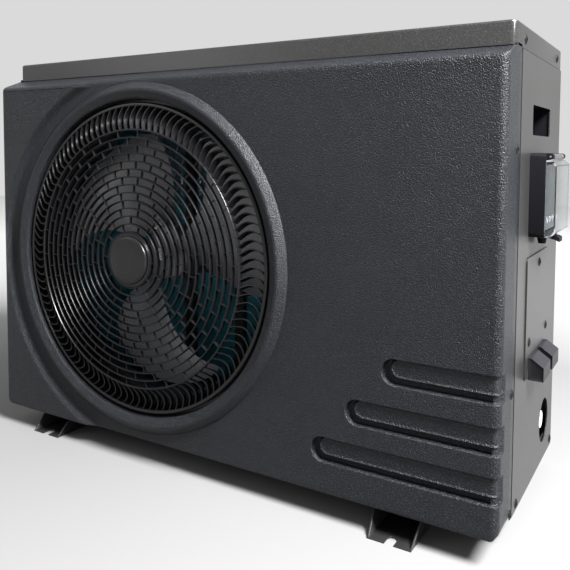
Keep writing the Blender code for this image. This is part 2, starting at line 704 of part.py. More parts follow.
def compressor():
    feet = [(COMP_X + 0.072 * math.cos(a), COMP_Y + 0.072 * math.sin(a))
            for a in (math.radians(90 + 120 * i) for i in range(3))]
    plate_z = 0.0190
    bm = bmesh.new()
    turned(bm, [(0, COMP_Z0), (COMP_R - 0.010, COMP_Z0), (COMP_R, COMP_Z0 + 0.012),
                (COMP_R, COMP_Z1 - 0.030), (COMP_R - 0.014, COMP_Z1 - 0.006),
                (COMP_R - 0.034, COMP_Z1), (0, COMP_Z1)], "Z", COMP_X, COMP_Y, 28)
    body = solid("compressor", bm, "compressor_paint")
    bm = bmesh.new()
    outline = []
    for i in range(3):
        middle = 90 + 120 * i
        outline += arc(*feet[i], 0.013, middle - 70, middle + 70, 4)
    prism(bm, outline, "Z", plate_z, COMP_Z0 + 0.002)
    join(body, bm, "base_plate")
    for number, (x, y) in enumerate(feet, 1):
        bm = bmesh.new()
        turned(bm, [(0, SHEET + GAP), (0.012, SHEET + GAP), (0.010, 0.008), (0.012, plate_z - 0.002),
                    (0.009, plate_z - GAP), (0, plate_z - GAP)], "Z", x, y, 14)
        solid(f"compressor_grommet_{number}", bm, "rubber")
    bm = bmesh.new()
    turned(bm, [(0, 0.060), (0.010, 0.064), (0.024, 0.078), (0.024, 0.206), (0.010, 0.222),
                (0.0075, 0.230), (0, 0.230)], "Z", 0.655, 0.214, 20)
    solid("accumulator", bm, "compressor_paint")


def four_way_valve():
    x, y, z, port = 0.700, 0.235, 0.360, 0.0065
    bm = bmesh.new()
    rod(bm, "X", y, z, 0.013, x - 0.042, x + 0.042, 16)
    valve = solid("four_way_valve", bm, "brass")
    ports = [(x, z + 0.004, z + 0.034)] + [(x + step, z - 0.034, z - 0.004) for step in (-0.02, 0, 0.02)]
    for number, (place_x, low, high) in enumerate(ports, 1):
        bm = bmesh.new()
        rod(bm, "Z", place_x, y, port, low, high, 10)
        join(valve, bm, f"port_{number}")
    bm = bmesh.new()
    rod(bm, "X", y - 0.018, z, 0.009, x - 0.016, x + 0.016, 12)
    join(valve, bm, "solenoid")


def expansion_valve():
    bm = bmesh.new()
    turned(bm, [(0, 0.108), (0.009, 0.108), (0.009, 0.128), (0.016, 0.130), (0.016, 0.154),
                (0.007, 0.158), (0, 0.158)], "Z", 0.655, 0.300, 16)
    solid("expansion_valve", bm, "brass")


def refrigerant_pipes():
    pipe("discharge_pipe", [(0.722, 0.130, COMP_Z1 + GAP), (0.722, 0.130, 0.300), (0.722, 0.134, 0.410),
                            (0.716, 0.170, 0.438), (0.704, 0.220, 0.438), (0.700, 0.235, 0.420),
                            (0.700, 0.235, 0.3945)], 0.0050)
    pipe("suction_pipe", [(0.700, 0.235, 0.3255), (0.700, 0.234, 0.300), (0.685, 0.227, 0.282),
                          (0.664, 0.217, 0.268), (0.655, 0.214, 0.250), (0.655, 0.214, 0.2305)], 0.0060)
    pipe("tank_gas_pipe", [(0.720, 0.235, 0.3255), (0.720, 0.235, 0.306), (0.727, 0.241, 0.293),
                           (0.738, 0.249, 0.290), (0.7492, 0.255, 0.290)], 0.0050)
    pipe("coil_gas_pipe", [(0.680, 0.235, 0.3255), (0.680, 0.237, 0.312), (0.670, 0.262, 0.302),
                           (0.650, 0.292, 0.300), (0.625, 0.312, 0.300), (0.6004, 0.315, 0.300)], 0.0050)
    pipe("coil_liquid_pipe", [(0.6453, 0.300, 0.118), (0.640, 0.300, 0.118),
                              (0.630, 0.308, 0.118), (0.618, 0.314, 0.120),
                              (0.6004, 0.315, 0.120)], 0.0040)
    pipe("tank_liquid_pipe", [(0.655, 0.300, 0.1075), (0.655, 0.300, 0.102), (0.656, 0.300, 0.092), (0.668, 0.296, 0.080),
                              (0.700, 0.282, 0.078), (0.730, 0.268, 0.080), (0.7505, 0.262, 0.080)], 0.0040)


def heat_exchanger():
    bm = bmesh.new()
    turned(bm, [(0, TANK_Z0), (TANK_R - 0.014, TANK_Z0), (TANK_R - 0.003, TANK_Z0 + 0.010),
                (TANK_R - 0.003, TANK_Z1 - 0.058), (TANK_R, TANK_Z1 - 0.056),
                (TANK_R, TANK_Z1 - 0.020), (TANK_R - 0.010, TANK_Z1), (0, TANK_Z1)],
           "Z", TANK_X, TANK_Y, 32)
    tank = solid("heat_exchanger", bm, "tank_plastic")
    bm = bmesh.new()
    rod(bm, "X", INLET_Y, INLET_Z, 0.016, TANK_X, TANK_X + 0.056, 20)
    join(tank, bm, "inlet_port")
    bm = bmesh.new()
    rod(bm, "Y", TANK_X, OUTLET_Z, 0.016, TANK_Y, TANK_Y + 0.056, 20)
    join(tank, bm, "outlet_port")
    bm = bmesh.new()
    block(bm, (TANK_X - 0.035, TANK_Y - 0.035, SHEET + GAP),
          (TANK_X + 0.035, TANK_Y + 0.035, TANK_Z0 + 0.004))
    join(tank, bm, "stand")

    bm = bmesh.new()
    turned(bm, [(0, 0.1995), (0.006, 0.1995), (0.006, 0.2010), (0.010, 0.2012), (0.010, 0.2056),
                (0, 0.2056)], "Y", TANK_X, 0.045, 12)
    solid("tank_drain_plug", bm, "fitting_plastic")
    bm = bmesh.new()
    turned(bm, [(0, TANK_Z1 + GAP), (0.014, TANK_Z1 + GAP), (0.014, TANK_Z1 + 0.010),
                (0.009, TANK_Z1 + 0.012), (0.009, TANK_Z1 + 0.034), (0, TANK_Z1 + 0.034)],
           "Z", TANK_X, TANK_Y, 16)
    solid("flow_switch", bm, "fitting_plastic")


def water_union(name, axis, u, v, start, nut_at, end):
    """A socket that a pipe is glued into, and the nut that holds it to the tank."""
    bm = bmesh.new()
    turned(bm, [(TAIL_BORE, start), (NECK_R, start), (NECK_R, nut_at + 0.0119),
                (TAIL_R, nut_at + 0.0125), (TAIL_R, end), (TAIL_BORE, end)], axis, u, v, 28)
    solid(f"water_{name}_union", bm, "white_plastic")
    turning = pivot(f"{name}_nut_axis", tuple(place(axis, u, v, nut_at)))
    bm = bmesh.new()
    points = []
    for i in range(48):
        angle = 2 * math.pi * i / 48
        radius = NUT_R if i % 4 < 2 else NUT_R - 0.0015
        points.append((u + radius * math.cos(angle), v + radius * math.sin(angle)))
    prism(bm, points, axis, nut_at, nut_at + 0.0115)
    nut = solid(f"{name}_union_nut", bm, "fitting_plastic", turning["at"], turning)
    bm = bmesh.new()
    rod(bm, axis, u, v, NECK_R + 0.0007, nut_at - 0.01, nut_at + 0.02, 28)
    cut(nut, bm, "bore")


# ---------------------------------------------------------------- electrics


def control_box():
    low, high = (0.6300, 0.030, 0.484), (0.855, 0.192, 0.586)
    bm = bmesh.new()
    block(bm, low, high)
    box = solid("control_box", bm, "zinc_steel")
    bm = bmesh.new()
    block(bm, [value + SHEET for value in low], (high[0] - SHEET, high[1] - SHEET, high[2] + 0.01))
    cut(box, bm, "inside")
    floor = low[2] + SHEET
    bm = bmesh.new()
    block(bm, (0.640, 0.040, floor + GAP), (0.790, 0.182, floor + 0.0020))
    board = solid("control_board", bm, "circuit_board")
    parts = (((0.650, 0.050), (0.690, 0.090), 0.030), ((0.700, 0.050), (0.716, 0.066), 0.025),
             ((0.725, 0.050), (0.741, 0.066), 0.025), ((0.700, 0.090), (0.770, 0.120), 0.018),
             ((0.650, 0.130), (0.760, 0.172), 0.012))
    for number, (near, far, height) in enumerate(parts, 1):
        bm = bmesh.new()
        block(bm, (*near, floor + 0.001), (*far, floor + height))
        join(board, bm, f"component_{number}")
    bm = bmesh.new()
    block(bm, (0.800, 0.060, floor + GAP), (0.845, 0.120, floor + 0.042))
    solid("power_reactor", bm, "motor_black")

    bm = bmesh.new()
    block(bm, (0.8585, 0.140, 0.180), (0.8600, 0.255, 0.330))
    solid("terminal_bracket", bm, "zinc_steel")
    bm = bmesh.new()
    prism(bm, [(0.8603, 0.215), (0.880, 0.215), (0.880, 0.222), (0.872, 0.222), (0.872, 0.238),
               (0.880, 0.238), (0.880, 0.245), (0.8603, 0.245)], "Y", 0.150, 0.240)
    solid("terminal_block", bm, "fitting_plastic")


# ---------------------------------------------------------------- right side fittings


def carry_handle():
    """A pocket behind the side panel, with a deeper roof for the fingers."""
    back = WIDTH - SHEET - GAP
    deep = back - HANDLE_DEPTH
    rim, wall = 0.002, 0.002
    bm = bmesh.new()
    block(bm, (deep, HANDLE_Y0 - rim - wall, HANDLE_Z0 - rim - wall),
          (back, HANDLE_Y1 + rim + wall, HANDLE_Z1 + rim + wall))
    handle = solid("carry_handle", bm, "fitting_plastic")
    bm = bmesh.new()
    block(bm, (deep + wall, HANDLE_Y0 - rim, HANDLE_Z0 - rim),
          (back + 0.01, HANDLE_Y1 + rim, HANDLE_Z1 + rim))
    cut(handle, bm, "pocket")


def cable_hood(name, y):
    """A rain hood: a sloping roof and two cheeks, open below and against the panel."""
    near = WIDTH + 2 * GAP + SHEET
    far = near + HOOD_OUT
    wall, slope = 0.002, 0.011
    shapes = []
    for inset in (0, wall):
        base = HOOD_Z0 - (0.01 if inset else 0)
        shapes.append([(near - (0.01 if inset else 0), base), (far - inset, base),
                       (far - inset, HOOD_Z1 - slope - inset), (near + 0.004, HOOD_Z1 - inset),
                       (near - (0.01 if inset else 0), HOOD_Z1 - inset)])
    bm = bmesh.new()
    prism(bm, shapes[0], "Y", y, y + HOOD_W)
    hood = solid(name, bm, "fitting_plastic")
    bm = bmesh.new()
    prism(bm, shapes[1], "Y", y + wall, y + HOOD_W - wall)
    cut(hood, bm, "mouth")


def controller_base():
    near, far = WIDTH + GAP, WIDTH + BOX_OUT
    bm = bmesh.new()
    prism(bm, rounded(BOX_Y0, BOX_Z0, BOX_Y1, BOX_Z1, 0.007), "X", near, far)
    base = solid("controller_base", bm, "fitting_plastic")
    bm = bmesh.new()
    prism(bm, rounded(BOX_Y0 + 0.006, BOX_Z0 + 0.007, BOX_Y1 - 0.006, BOX_Z1 - 0.013, 0.004), "X",
          near + 0.002, far + 0.01)
    cut(base, bm, "display_seat")
    for number, low in enumerate((BOX_Y0 + 0.004, BOX_Y1 - 0.014), 1):
        bm = bmesh.new()
        prism(bm, [(far - 0.002, LID_PIN_Z - 0.004), (LID_PIN_X, LID_PIN_Z - 0.004)]
              + arc(LID_PIN_X, LID_PIN_Z, 0.004, -60, 90, 4) + [(far - 0.002, LID_PIN_Z + 0.004)],
              "Y", low, low + 0.010)
        join(base, bm, f"hinge_lug_{number}")
    bm = bmesh.new()
    rod(bm, "Y", LID_PIN_X, LID_PIN_Z, 0.0017, BOX_Y0 - 0.01, BOX_Y1 + 0.01, 12)
    cut(base, bm, "pin_hole")

    bm = bmesh.new()
    rod(bm, "Y", LID_PIN_X, LID_PIN_Z, 0.0013, BOX_Y0 + 0.0045, BOX_Y1 - 0.0045, 12)
    solid("lid_hinge_pin", bm, "zinc_steel")


def display_controller():
    near, face = WIDTH + 0.003, WIDTH + BOX_OUT - 0.0005
    low_y, high_y, low_z, high_z = 0.1365, 0.2195, 0.3640, 0.4500
    bm = bmesh.new()
    prism(bm, rounded(low_y, low_z, high_y, high_z, 0.003, 2), "X", near, face)
    body = solid("display_controller", bm, "display_face")
    size_y, size_z, pitch = 0.014, 0.008, 0.0195
    centre_z = low_z + 0.013
    for number in range(4):
        centre_y = (low_y + high_y) / 2 + (number - 1.5) * pitch
        clear = 0.0004
        bm = bmesh.new()
        prism(bm, rounded(centre_y - size_y / 2 - clear, centre_z - size_z / 2 - clear,
                          centre_y + size_y / 2 + clear, centre_z + size_z / 2 + clear, 0.002, 2),
              "X", face - 0.004, face + 0.01)
        cut(body, bm, f"button_hole_{number + 1}")
        at = (face + 0.0008, centre_y, centre_z)
        guide = pivot(f"button_guide_{number + 1}", at)
        bm = bmesh.new()
        prism(bm, rounded(centre_y - size_y / 2, centre_z - size_z / 2, centre_y + size_y / 2,
                          centre_z + size_z / 2, 0.002, 2), "X", face - 0.0025, face + 0.0008)
        solid(f"controller_button_{number + 1}", bm, "button_plastic", at, guide)


def controller_lid():
    """A clear cover that swings up about a pin along its top edge."""
    hinge = pivot("lid_hinge", (LID_PIN_X, (BOX_Y0 + BOX_Y1) / 2, LID_PIN_Z))
    near, far = WIDTH + BOX_OUT + 0.0006, WIDTH + LID_OUT
    low_y, high_y, low_z, high_z = BOX_Y0 + 0.001, BOX_Y1 - 0.001, BOX_Z0 + 0.001, 0.4560
    slant = 0.006

    def shell(bm, inset, back):
        top, bottom, front = high_z - inset, low_z + inset, far - inset
        prism(bm, [(back, bottom), (front - slant, bottom), (front, bottom + slant),
                   (front, top - slant), (front - slant, top), (back, top)],
              "Y", low_y + inset, high_y - inset)

    bm = bmesh.new()
    shell(bm, 0, near)
    lid = solid("controller_lid", bm, "clear_plastic", hinge["at"], hinge)
    bm = bmesh.new()
    shell(bm, LID_WALL, near - 0.01)
    cut(lid, bm, "inside")
    bm = bmesh.new()
    low, high = BOX_Y0 + 0.0155, BOX_Y1 - 0.0155
    prism(bm, [(LID_PIN_X - 0.003, high_z - 0.0015), (LID_PIN_X + 0.003, high_z - 0.0015)]
          + arc(LID_PIN_X, LID_PIN_Z, 0.0037, -30, 210, 7), "Y", low, high)
    join(lid, bm, "knuckle")
    bm = bmesh.new()
    rod(bm, "Y", LID_PIN_X, LID_PIN_Z, 0.0017, low - 0.01, high + 0.01, 12)
    cut(lid, bm, "pin_hole")

    release = pivot("latch_pivot", (LATCH_X, (BOX_Y0 + BOX_Y1) / 2, LATCH_Z))
    middle = (BOX_Y0 + BOX_Y1) / 2
    bm = bmesh.new()
    prism(bm, [(LATCH_X - 0.002, LATCH_Z + 0.0020), (LATCH_X - 0.002, LATCH_Z - 0.0010),
               (LATCH_X + 0.0045, LATCH_Z - 0.0025), (LATCH_X + 0.0105, LATCH_Z - 0.0050),
               (LATCH_X + 0.0105, LATCH_Z + 0.0005), (LATCH_X + 0.0065, LATCH_Z + 0.0028),
               (LATCH_X + 0.002, LATCH_Z + 0.0028)], "Y", middle - 0.011, middle + 0.011)
    solid("lid_latch", bm, "fitting_plastic", release["at"], release)


def cable_gland():
    bm = bmesh.new()
    top = BOX_Z0 - GAP
    turned(bm, [(0.0030, top), (0.0065, top), (0.0065, top - 0.004), (0.0050, top - 0.012),
                (0.0030, top - 0.012)], "Z", WIDTH + 0.0085, (BOX_Y0 + BOX_Y1) / 2, 18)
    solid("cable_gland", bm, "fitting_plastic")


def main():
    clear_scene()
    frame = bpy.data.objects.new("cabinet_frame", None)
    bpy.context.scene.collection.objects.link(frame)
    frame.location = -CENTRE

    front_panel()
    top_cover()
    right_side_panel()
    access_cover()
    rear_panel()
    rear_left_post()
    coil_guard("left_coil_guard", "X", SEAM + SEAM_GAP, DEPTH - 0.028, GAP, 0.0032, 3)
    coil_guard("rear_coil_guard", "Y", 0.028, PARTITION_X - 0.014, DEPTH - 0.0032, DEPTH - GAP, 6)
    base_pan()
    foot("left_foot", FOOT_X[0])
    foot("right_foot", FOOT_X[1])

    fan_grille()
    fan_shroud()
    fan()
    fan_motor()
    motor_bracket()
    evaporator_coil()
    partition_plate()

    compressor()
    four_way_valve()
    expansion_valve()
    refrigerant_pipes()
    heat_exchanger()
    water_union("inlet", "X", INLET_Y, INLET_Z, TANK_X + 0.0563, TANK_X + 0.0625, WIDTH - 0.0040)
    water_union("outlet", "Y", TANK_X, OUTLET_Z, TANK_Y + 0.0563, TANK_Y + 0.0625, DEPTH + 0.0090)

    control_box()
    carry_handle()
    for name, y in zip(("cable_hood_front", "cable_hood_rear"), HOOD_Y):
        cable_hood(name, y)
    controller_base()
    display_controller()
    controller_lid()
    cable_gland()


main()
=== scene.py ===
"""Looks of the pool heat pump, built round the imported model.

Lengths are in metres. Shapes are written in cabinet coordinates, as in the part:
x runs right from the cabinet's left side, y runs back from the front panel's flat
face, and z runs up from the cabinet's underside. ORIGIN is where that corner lies
in the frame.
"""

import json
import math

import bmesh
import bpy
from mathutils import Matrix, Vector


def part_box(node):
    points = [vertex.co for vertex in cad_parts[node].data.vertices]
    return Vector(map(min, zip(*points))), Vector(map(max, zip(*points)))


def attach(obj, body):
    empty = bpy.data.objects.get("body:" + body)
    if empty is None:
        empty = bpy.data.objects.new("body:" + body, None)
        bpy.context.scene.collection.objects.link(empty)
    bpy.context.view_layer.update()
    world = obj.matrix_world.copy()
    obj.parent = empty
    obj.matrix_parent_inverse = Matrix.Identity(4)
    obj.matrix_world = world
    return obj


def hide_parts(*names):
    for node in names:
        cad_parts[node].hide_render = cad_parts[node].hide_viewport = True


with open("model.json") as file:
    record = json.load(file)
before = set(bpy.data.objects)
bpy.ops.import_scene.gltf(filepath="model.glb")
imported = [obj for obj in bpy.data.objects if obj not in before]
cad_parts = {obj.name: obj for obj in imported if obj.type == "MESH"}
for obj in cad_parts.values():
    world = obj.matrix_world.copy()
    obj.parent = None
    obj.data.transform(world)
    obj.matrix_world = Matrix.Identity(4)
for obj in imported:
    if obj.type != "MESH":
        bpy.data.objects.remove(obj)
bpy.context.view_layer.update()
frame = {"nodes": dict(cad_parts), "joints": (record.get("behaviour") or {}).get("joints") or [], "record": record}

# Cabinet
PANEL_LOW, PANEL_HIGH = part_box("front_panel")
COVER_LOW, COVER_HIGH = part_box("top_cover")
SEAM = 0.070
SKIN_END = SEAM - 0.0028
ORIGIN = Vector((PANEL_LOW[0], PANEL_HIGH[1] - SEAM, PANEL_LOW[2]))
WIDTH = PANEL_HIGH[0] - PANEL_LOW[0]
SIDE_TOP = PANEL_HIGH[2] - ORIGIN.z
SETBACK = COVER_LOW[1] - ORIGIN.y
FACE_TOP = 0.580
CORNER_R = 0.010
LOWER_LEFT_R, LOWER_RIGHT_R = 0.022, 0.013

# How far the base pan's front corners are drawn in, and how wide a hood's cheek frame is
CORNER_DRAW = 0.024
CHEEK_FRAME = 0.0030

# Fan opening and the raised corners
AXLE = next(Vector(joint["pos_m"]) for joint in frame["joints"] if joint["name"] == "fan_spin") - ORIGIN
FAN_X, FAN_Z = AXLE.x, AXLE.z
RING_FOOT_R = 0.2805
PLATEAU_X, PLATEAU_Z, PLATEAU_R = 0.313, 0.288, 0.309
PLATEAU_Y, PLATEAU_SLOPE = -0.0085, 0.012

# Mock louvres: (left end, bottom). Each is a slot round a raised tongue.
LOUVRES = ((0.739, 0.167), (0.688, 0.104), (0.637, 0.043))
LOUVRE_H = 0.036
TONGUE_START = 0.0115
SLOT_H = 0.0095
SLOT_DEPTH = 0.0100
TONGUE_DEPTH = 0.0042
LIP_RISE = 0.0018
SLOT_END = WIDTH - 0.013

# The moulding's edges: the turned-in rear edge and its ease, and the lower edge's radius and lip
REAR_LIP, REAR_EASE = 0.003, 0.0008
LOWER_EASE, LOWER_LIP = 0.0025, 0.0140
UPPER_EASE = 0.0060

# The moulding's mesh: where its plain side begins, and its steps on the fan side, on flat
# stretches and across the louvres' ends
PLAIN_START = 0.606
FAN_STEP, FLAT_STEP, END_STEP = 0.0025, 0.006, 0.0009

# Grille
HUB_R, CAP_R = 0.0415, 0.038
FIRST_RING_R = 0.0445
RING_COUNT = 13
VANE_RING_R = 0.2070
RIM_R = 0.2495
VANES = 108

# Fan: how the blades stand at rest, and their angles and depths
BLADES = 3
BLADE_TURN = -114
BLADE_WIDTH, BLADE_FLARE, BLADE_SWEEP = 56, 26, 20
BLADE_BACK_Y, BLADE_PITCH, BLADE_BOW = 0.1075, 0.052, 0.012
BLADE_EDGE, BLADE_SWELL = 0.0006, 0.0022
FAN_HUB_R, FAN_HUB_WALL = 0.046, 0.003
FAN_HUB_FRONT, FAN_HUB_BACK = 0.066, 0.116
BORE_R, BOSS_R = 0.0064, 0.014
HUB_RIBS = 6

# Coil
COIL_R, COIL_THICK = 0.060, 0.030
FIN_PITCH, FIN_HEM = 0.0034, 0.0025
TUBE_PITCH = 0.025
TUBE_R, TUBE_BORE_R = 0.0048, 0.0036
TUBE_ROWS = (0.0085, 0.0215)

# Wire guards
WIRE_R, WIRE_SIDES = 0.0014, 10

# Screws: head radius and height, and the mesh of a head
HEAD_R, HEAD_H = 0.0050, 0.0022
HEAD_RINGS, HEAD_SIDES = 12, 32

# Studio: lamps are (name, place in the frame, size, watts)
SURROUND = 0.70
FLOOR_HALF, FLOOR_STEPS = 6.0, 8
LAMPS = (("key", (1.7, -0.62, 2.1), 0.8, 560),
         ("fill", (-1.9, -2.1, 1.5), 1.4, 14),
         ("top", (0.2, 0.6, 3.0), 2.4, 20))
LAMP_TARGET = Vector((WIDTH / 2, 0.1, 0.3))
CAMERA_PLACE = Vector((1.077, -0.8133, 0.4655))
CAMERA_TURN, CAMERA_DIP, CAMERA_ROLL = 31.79, 3.44, 0.23
CAMERA_LENS, CAMERA_SHIFT = 43.4, (0.023, -0.161)


# ---------------------------------------------------------------- materials


def new_material(name):
    made = bpy.data.materials.new(name)
    made.use_nodes = True
    tree = made.node_tree
    shader = tree.nodes["Principled BSDF"]
    return made, tree, shader


def add(tree, kind, **settings):
    node = tree.nodes.new(kind)
    for key, value in settings.items():
        if hasattr(node, key):
            setattr(node, key, value)
        else:
            node.inputs[key.replace("_", " ")].default_value = value
    return node


def ramp(tree, source, stops):
    node = tree.nodes.new("ShaderNodeValToRGB")
    elements = node.color_ramp.elements
    while len(elements) < len(stops):
        elements.new(0.5)
    for element, (place, colour) in zip(elements, stops):
        element.position = place
        element.color = (*colour, 1.0) if len(colour) == 3 else colour
    tree.links.new(source, node.inputs[0])
    return node.outputs[0]


def span(tree, source, low, high, start=0.0, end=1.0):
    """Maps a texture's value from start..end to low..high."""
    node = tree.nodes.new("ShaderNodeMapRange")
    node.inputs["From Min"].default_value = start
    node.inputs["From Max"].default_value = end
    node.inputs["To Min"].default_value = low
    node.inputs["To Max"].default_value = high
    tree.links.new(source, node.inputs["Value"])
    return node.outputs["Result"]


def scaled(colour, factor):
    return tuple(min(1.0, channel * factor) for channel in colour)


def mixed(tree, blend, factor, base, colour):
    """Mixes a colour into a base where the factor is high."""
    mix = add(tree, "ShaderNodeMix", data_type="RGBA", blend_type=blend)
    tree.links.new(factor, mix.inputs["Factor"])
    tree.links.new(base, mix.inputs["A"])
    mix.inputs["B"].default_value = (*colour, 1.0)
    return mix.outputs["Result"]


def relief_of(tree, place, fine, bump, depth, pebble):
    """A fine grain in relief, on small domes where pebble is above 0."""
    link = tree.links.new
    relief = add(tree, "ShaderNodeBump", Strength=bump, Distance=depth)
    link(fine, relief.inputs["Height"])
    if pebble:
        cells = add(tree, "ShaderNodeTexVoronoi", feature="SMOOTH_F1", Scale=pebble)
        link(place, cells.inputs["Vector"])
        domes = add(tree, "ShaderNodeBump", Strength=bump, Distance=depth * 2, invert=True)
        link(cells.outputs["Distance"], domes.inputs["Height"])
        link(domes.outputs["Normal"], relief.inputs["Normal"])
    return relief.outputs["Normal"]


def surface(name, colour, rough, grain=900.0, bump=0.2, depth=0.0004, vary=0.12, metallic=0.0,
            specular=0.5, rough_vary=0.06, painted_glints=0.0, edge_lightening=0.0, coat=0.0, pebble=0.0):
    """Colour and roughness that vary over the surface, with a fine grain in relief, painted glints where asked,
    and sharp edges made lighter where asked.
    """
    made, tree, shader = new_material(name)
    link = tree.links.new
    place = add(tree, "ShaderNodeTexCoord").outputs["Object"]
    broad = add(tree, "ShaderNodeTexNoise", Scale=9.0, Detail=4.0, Roughness=0.6)
    fine = add(tree, "ShaderNodeTexNoise", Scale=grain, Detail=3.0, Roughness=0.6)
    for texture in (broad, fine):
        link(place, texture.inputs["Vector"])
    tint = ramp(tree, broad.outputs["Fac"],
                ((0.3, scaled(colour, 1 - vary)), (0.7, scaled(colour, 1 + vary))))
    # Painted glints: white flecks added to the colour where the fine grain is high, standing in for light glinting
    # on the grain.
    if painted_glints:
        tint = mixed(tree, "ADD", span(tree, fine.outputs["Fac"], 0.0, painted_glints, 0.56, 0.75), tint,
                     (1.0, 1.0, 1.0))
    # Sharp outer edges, found from the mesh's pointiness, are given a lighter colour.
    if edge_lightening:
        edges = add(tree, "ShaderNodeNewGeometry").outputs["Pointiness"]
        tint = mixed(tree, "MIX", span(tree, edges, 0.0, edge_lightening, 0.53, 0.62), tint, scaled(colour, 4.0))
    link(tint, shader.inputs["Base Color"])
    link(span(tree, fine.outputs["Fac"], rough - rough_vary, rough + rough_vary, 0.3, 0.7),
         shader.inputs["Roughness"])
    link(relief_of(tree, place, fine.outputs["Fac"], bump, depth, pebble), shader.inputs["Normal"])
    shader.inputs["Metallic"].default_value = metallic
    shader.inputs["Specular IOR Level"].default_value = specular
    shader.inputs["Coat Weight"].default_value = coat
    shader.inputs["Coat Roughness"].default_value = 0.2
    return made


def clear_plastic():
    made, tree, shader = new_material("clear_plastic")
    link = tree.links.new
    place = add(tree, "ShaderNodeTexCoord").outputs["Object"]
    haze = add(tree, "ShaderNodeTexNoise", Scale=35.0, Detail=5.0)
    link(place, haze.inputs["Vector"])
    link(span(tree, haze.outputs["Fac"], 0.03, 0.10), shader.inputs["Roughness"])
    link(ramp(tree, haze.outputs["Fac"], ((0.3, (0.86, 0.90, 0.92)), (0.7, (0.93, 0.96, 0.97)))),
         shader.inputs["Base Color"])
    shader.inputs["Transmission Weight"].default_value = 1.0
    shader.inputs["IOR"].default_value = 1.46
    return made


def board_material():
    """Green solder mask with paler tracks."""
    made, tree, shader = new_material("circuit_board")
    link = tree.links.new
    place = add(tree, "ShaderNodeTexCoord").outputs["Object"]
    tracks = add(tree, "ShaderNodeTexBrick", Scale=60.0)
    link(place, tracks.inputs["Vector"])
    tracks.inputs["Color1"].default_value = (0.015, 0.12, 0.05, 1)
    tracks.inputs["Color2"].default_value = (0.02, 0.16, 0.07, 1)
    tracks.inputs["Mortar"].default_value = (0.10, 0.32, 0.16, 1)
    link(tracks.outputs["Color"], shader.inputs["Base Color"])
    grain = add(tree, "ShaderNodeTexNoise", Scale=300.0)
    link(place, grain.inputs["Vector"])
    link(span(tree, grain.outputs["Fac"], 0.35, 0.55), shader.inputs["Roughness"])
    return made


def floor_material():
    """Painted shade: grey near the object, which the glossy panels mirror as a darker floor, and pale far from it.
    """
    made, tree, shader = new_material("floor_painted_shade")
    link = tree.links.new
    place = add(tree, "ShaderNodeTexCoord").outputs["Object"]
    distance = add(tree, "ShaderNodeVectorMath", operation="LENGTH")
    link(place, distance.inputs[0])
    mottle = add(tree, "ShaderNodeTexNoise", Scale=40.0, Detail=4.0)
    link(place, mottle.inputs["Vector"])
    # The grey near the object is painted shade round it, which also darkens its reflection in the glossy panels.
    near, far = (0.13, 0.13, 0.13), (0.70, 0.70, 0.70)
    outwards = span(tree, distance.outputs["Value"], 0.0, 1.0, 0.8, 3.4)
    link(ramp(tree, outwards, ((0.0, near), (1.0, far))), shader.inputs["Base Color"])
    link(span(tree, mottle.outputs["Fac"], 0.65, 0.75), shader.inputs["Roughness"])
    shader.inputs["Specular IOR Level"].default_value = 0.2
    return made


# The shell and cabinet looks add white flecks to their colour as painted glints on the grain.
LOOKS = {
    "shell_plastic": dict(colour=(0.0050, 0.0055, 0.0072), rough=0.32, grain=880, bump=0.90,
                          depth=0.00062, painted_glints=0.06, specular=0.16, pebble=600),
    "cabinet_paint": dict(colour=(0.009, 0.009, 0.0088), rough=0.36, grain=700, bump=0.20,
                          depth=0.0003, painted_glints=0.03, specular=0.5, pebble=600),
    "grille_plastic": dict(colour=(0.0035, 0.0035, 0.004), rough=0.28, grain=800, bump=0.12,
                           specular=0.27),
    "foot_paint": dict(colour=(0.006, 0.006, 0.006), rough=0.42, grain=500, bump=0.25, edge_lightening=0.5),
    "fan_plastic": dict(colour=(0.085, 0.087, 0.092), rough=0.30, grain=420, bump=0.25, vary=0.2),
    "blue_fins": dict(colour=(0.035, 0.370, 0.500), rough=0.42, grain=260, metallic=0.2, vary=0.2),
    "zinc_steel": dict(colour=(0.52, 0.53, 0.53), rough=0.36, grain=90, bump=0.08, metallic=1.0,
                       rough_vary=0.12),
    "motor_black": dict(colour=(0.026, 0.026, 0.028), rough=0.38, grain=500, bump=0.3, edge_lightening=0.3),
    "copper": dict(colour=(0.78, 0.36, 0.22), rough=0.26, grain=140, bump=0.1, metallic=1.0,
                   rough_vary=0.1, vary=0.2),
    "brass": dict(colour=(0.72, 0.53, 0.25), rough=0.30, grain=300, bump=0.15, metallic=1.0,
                  vary=0.15),
    "compressor_paint": dict(colour=(0.018, 0.018, 0.018), rough=0.30, grain=260, bump=0.25,
                             coat=0.3),
    "rubber": dict(colour=(0.020, 0.020, 0.020), rough=0.75, grain=1200, bump=0.35),
    "tank_plastic": dict(colour=(0.11, 0.115, 0.12), rough=0.45, grain=700, bump=0.25),
    "white_plastic": dict(colour=(0.78, 0.78, 0.76), rough=0.30, grain=500, bump=0.06, vary=0.04),
    "fitting_plastic": dict(colour=(0.004, 0.004, 0.005), rough=0.50, grain=1000, bump=0.4,
                            specular=0.05),
    "display_face": dict(colour=(0.010, 0.011, 0.014), rough=0.12, bump=0.02, rough_vary=0.03),
    "button_plastic": dict(colour=(0.30, 0.31, 0.33), rough=0.42, grain=1200, bump=0.15),
}
MATERIALS = {name: surface(name, **look) for name, look in LOOKS.items()}
MATERIALS["circuit_board"] = board_material()
MATERIALS["clear_plastic"] = clear_plastic()

# Finishes that differ from the one of their slot
SCREW_BLACK = surface("screw_black", (0.003, 0.003, 0.003), 0.50, grain=1500, specular=0.12)
HOOD_PLASTIC = surface("hood_plastic", (0.005, 0.005, 0.006), 0.42, grain=700, bump=0.6,
                       specular=0.14, edge_lightening=0.3)
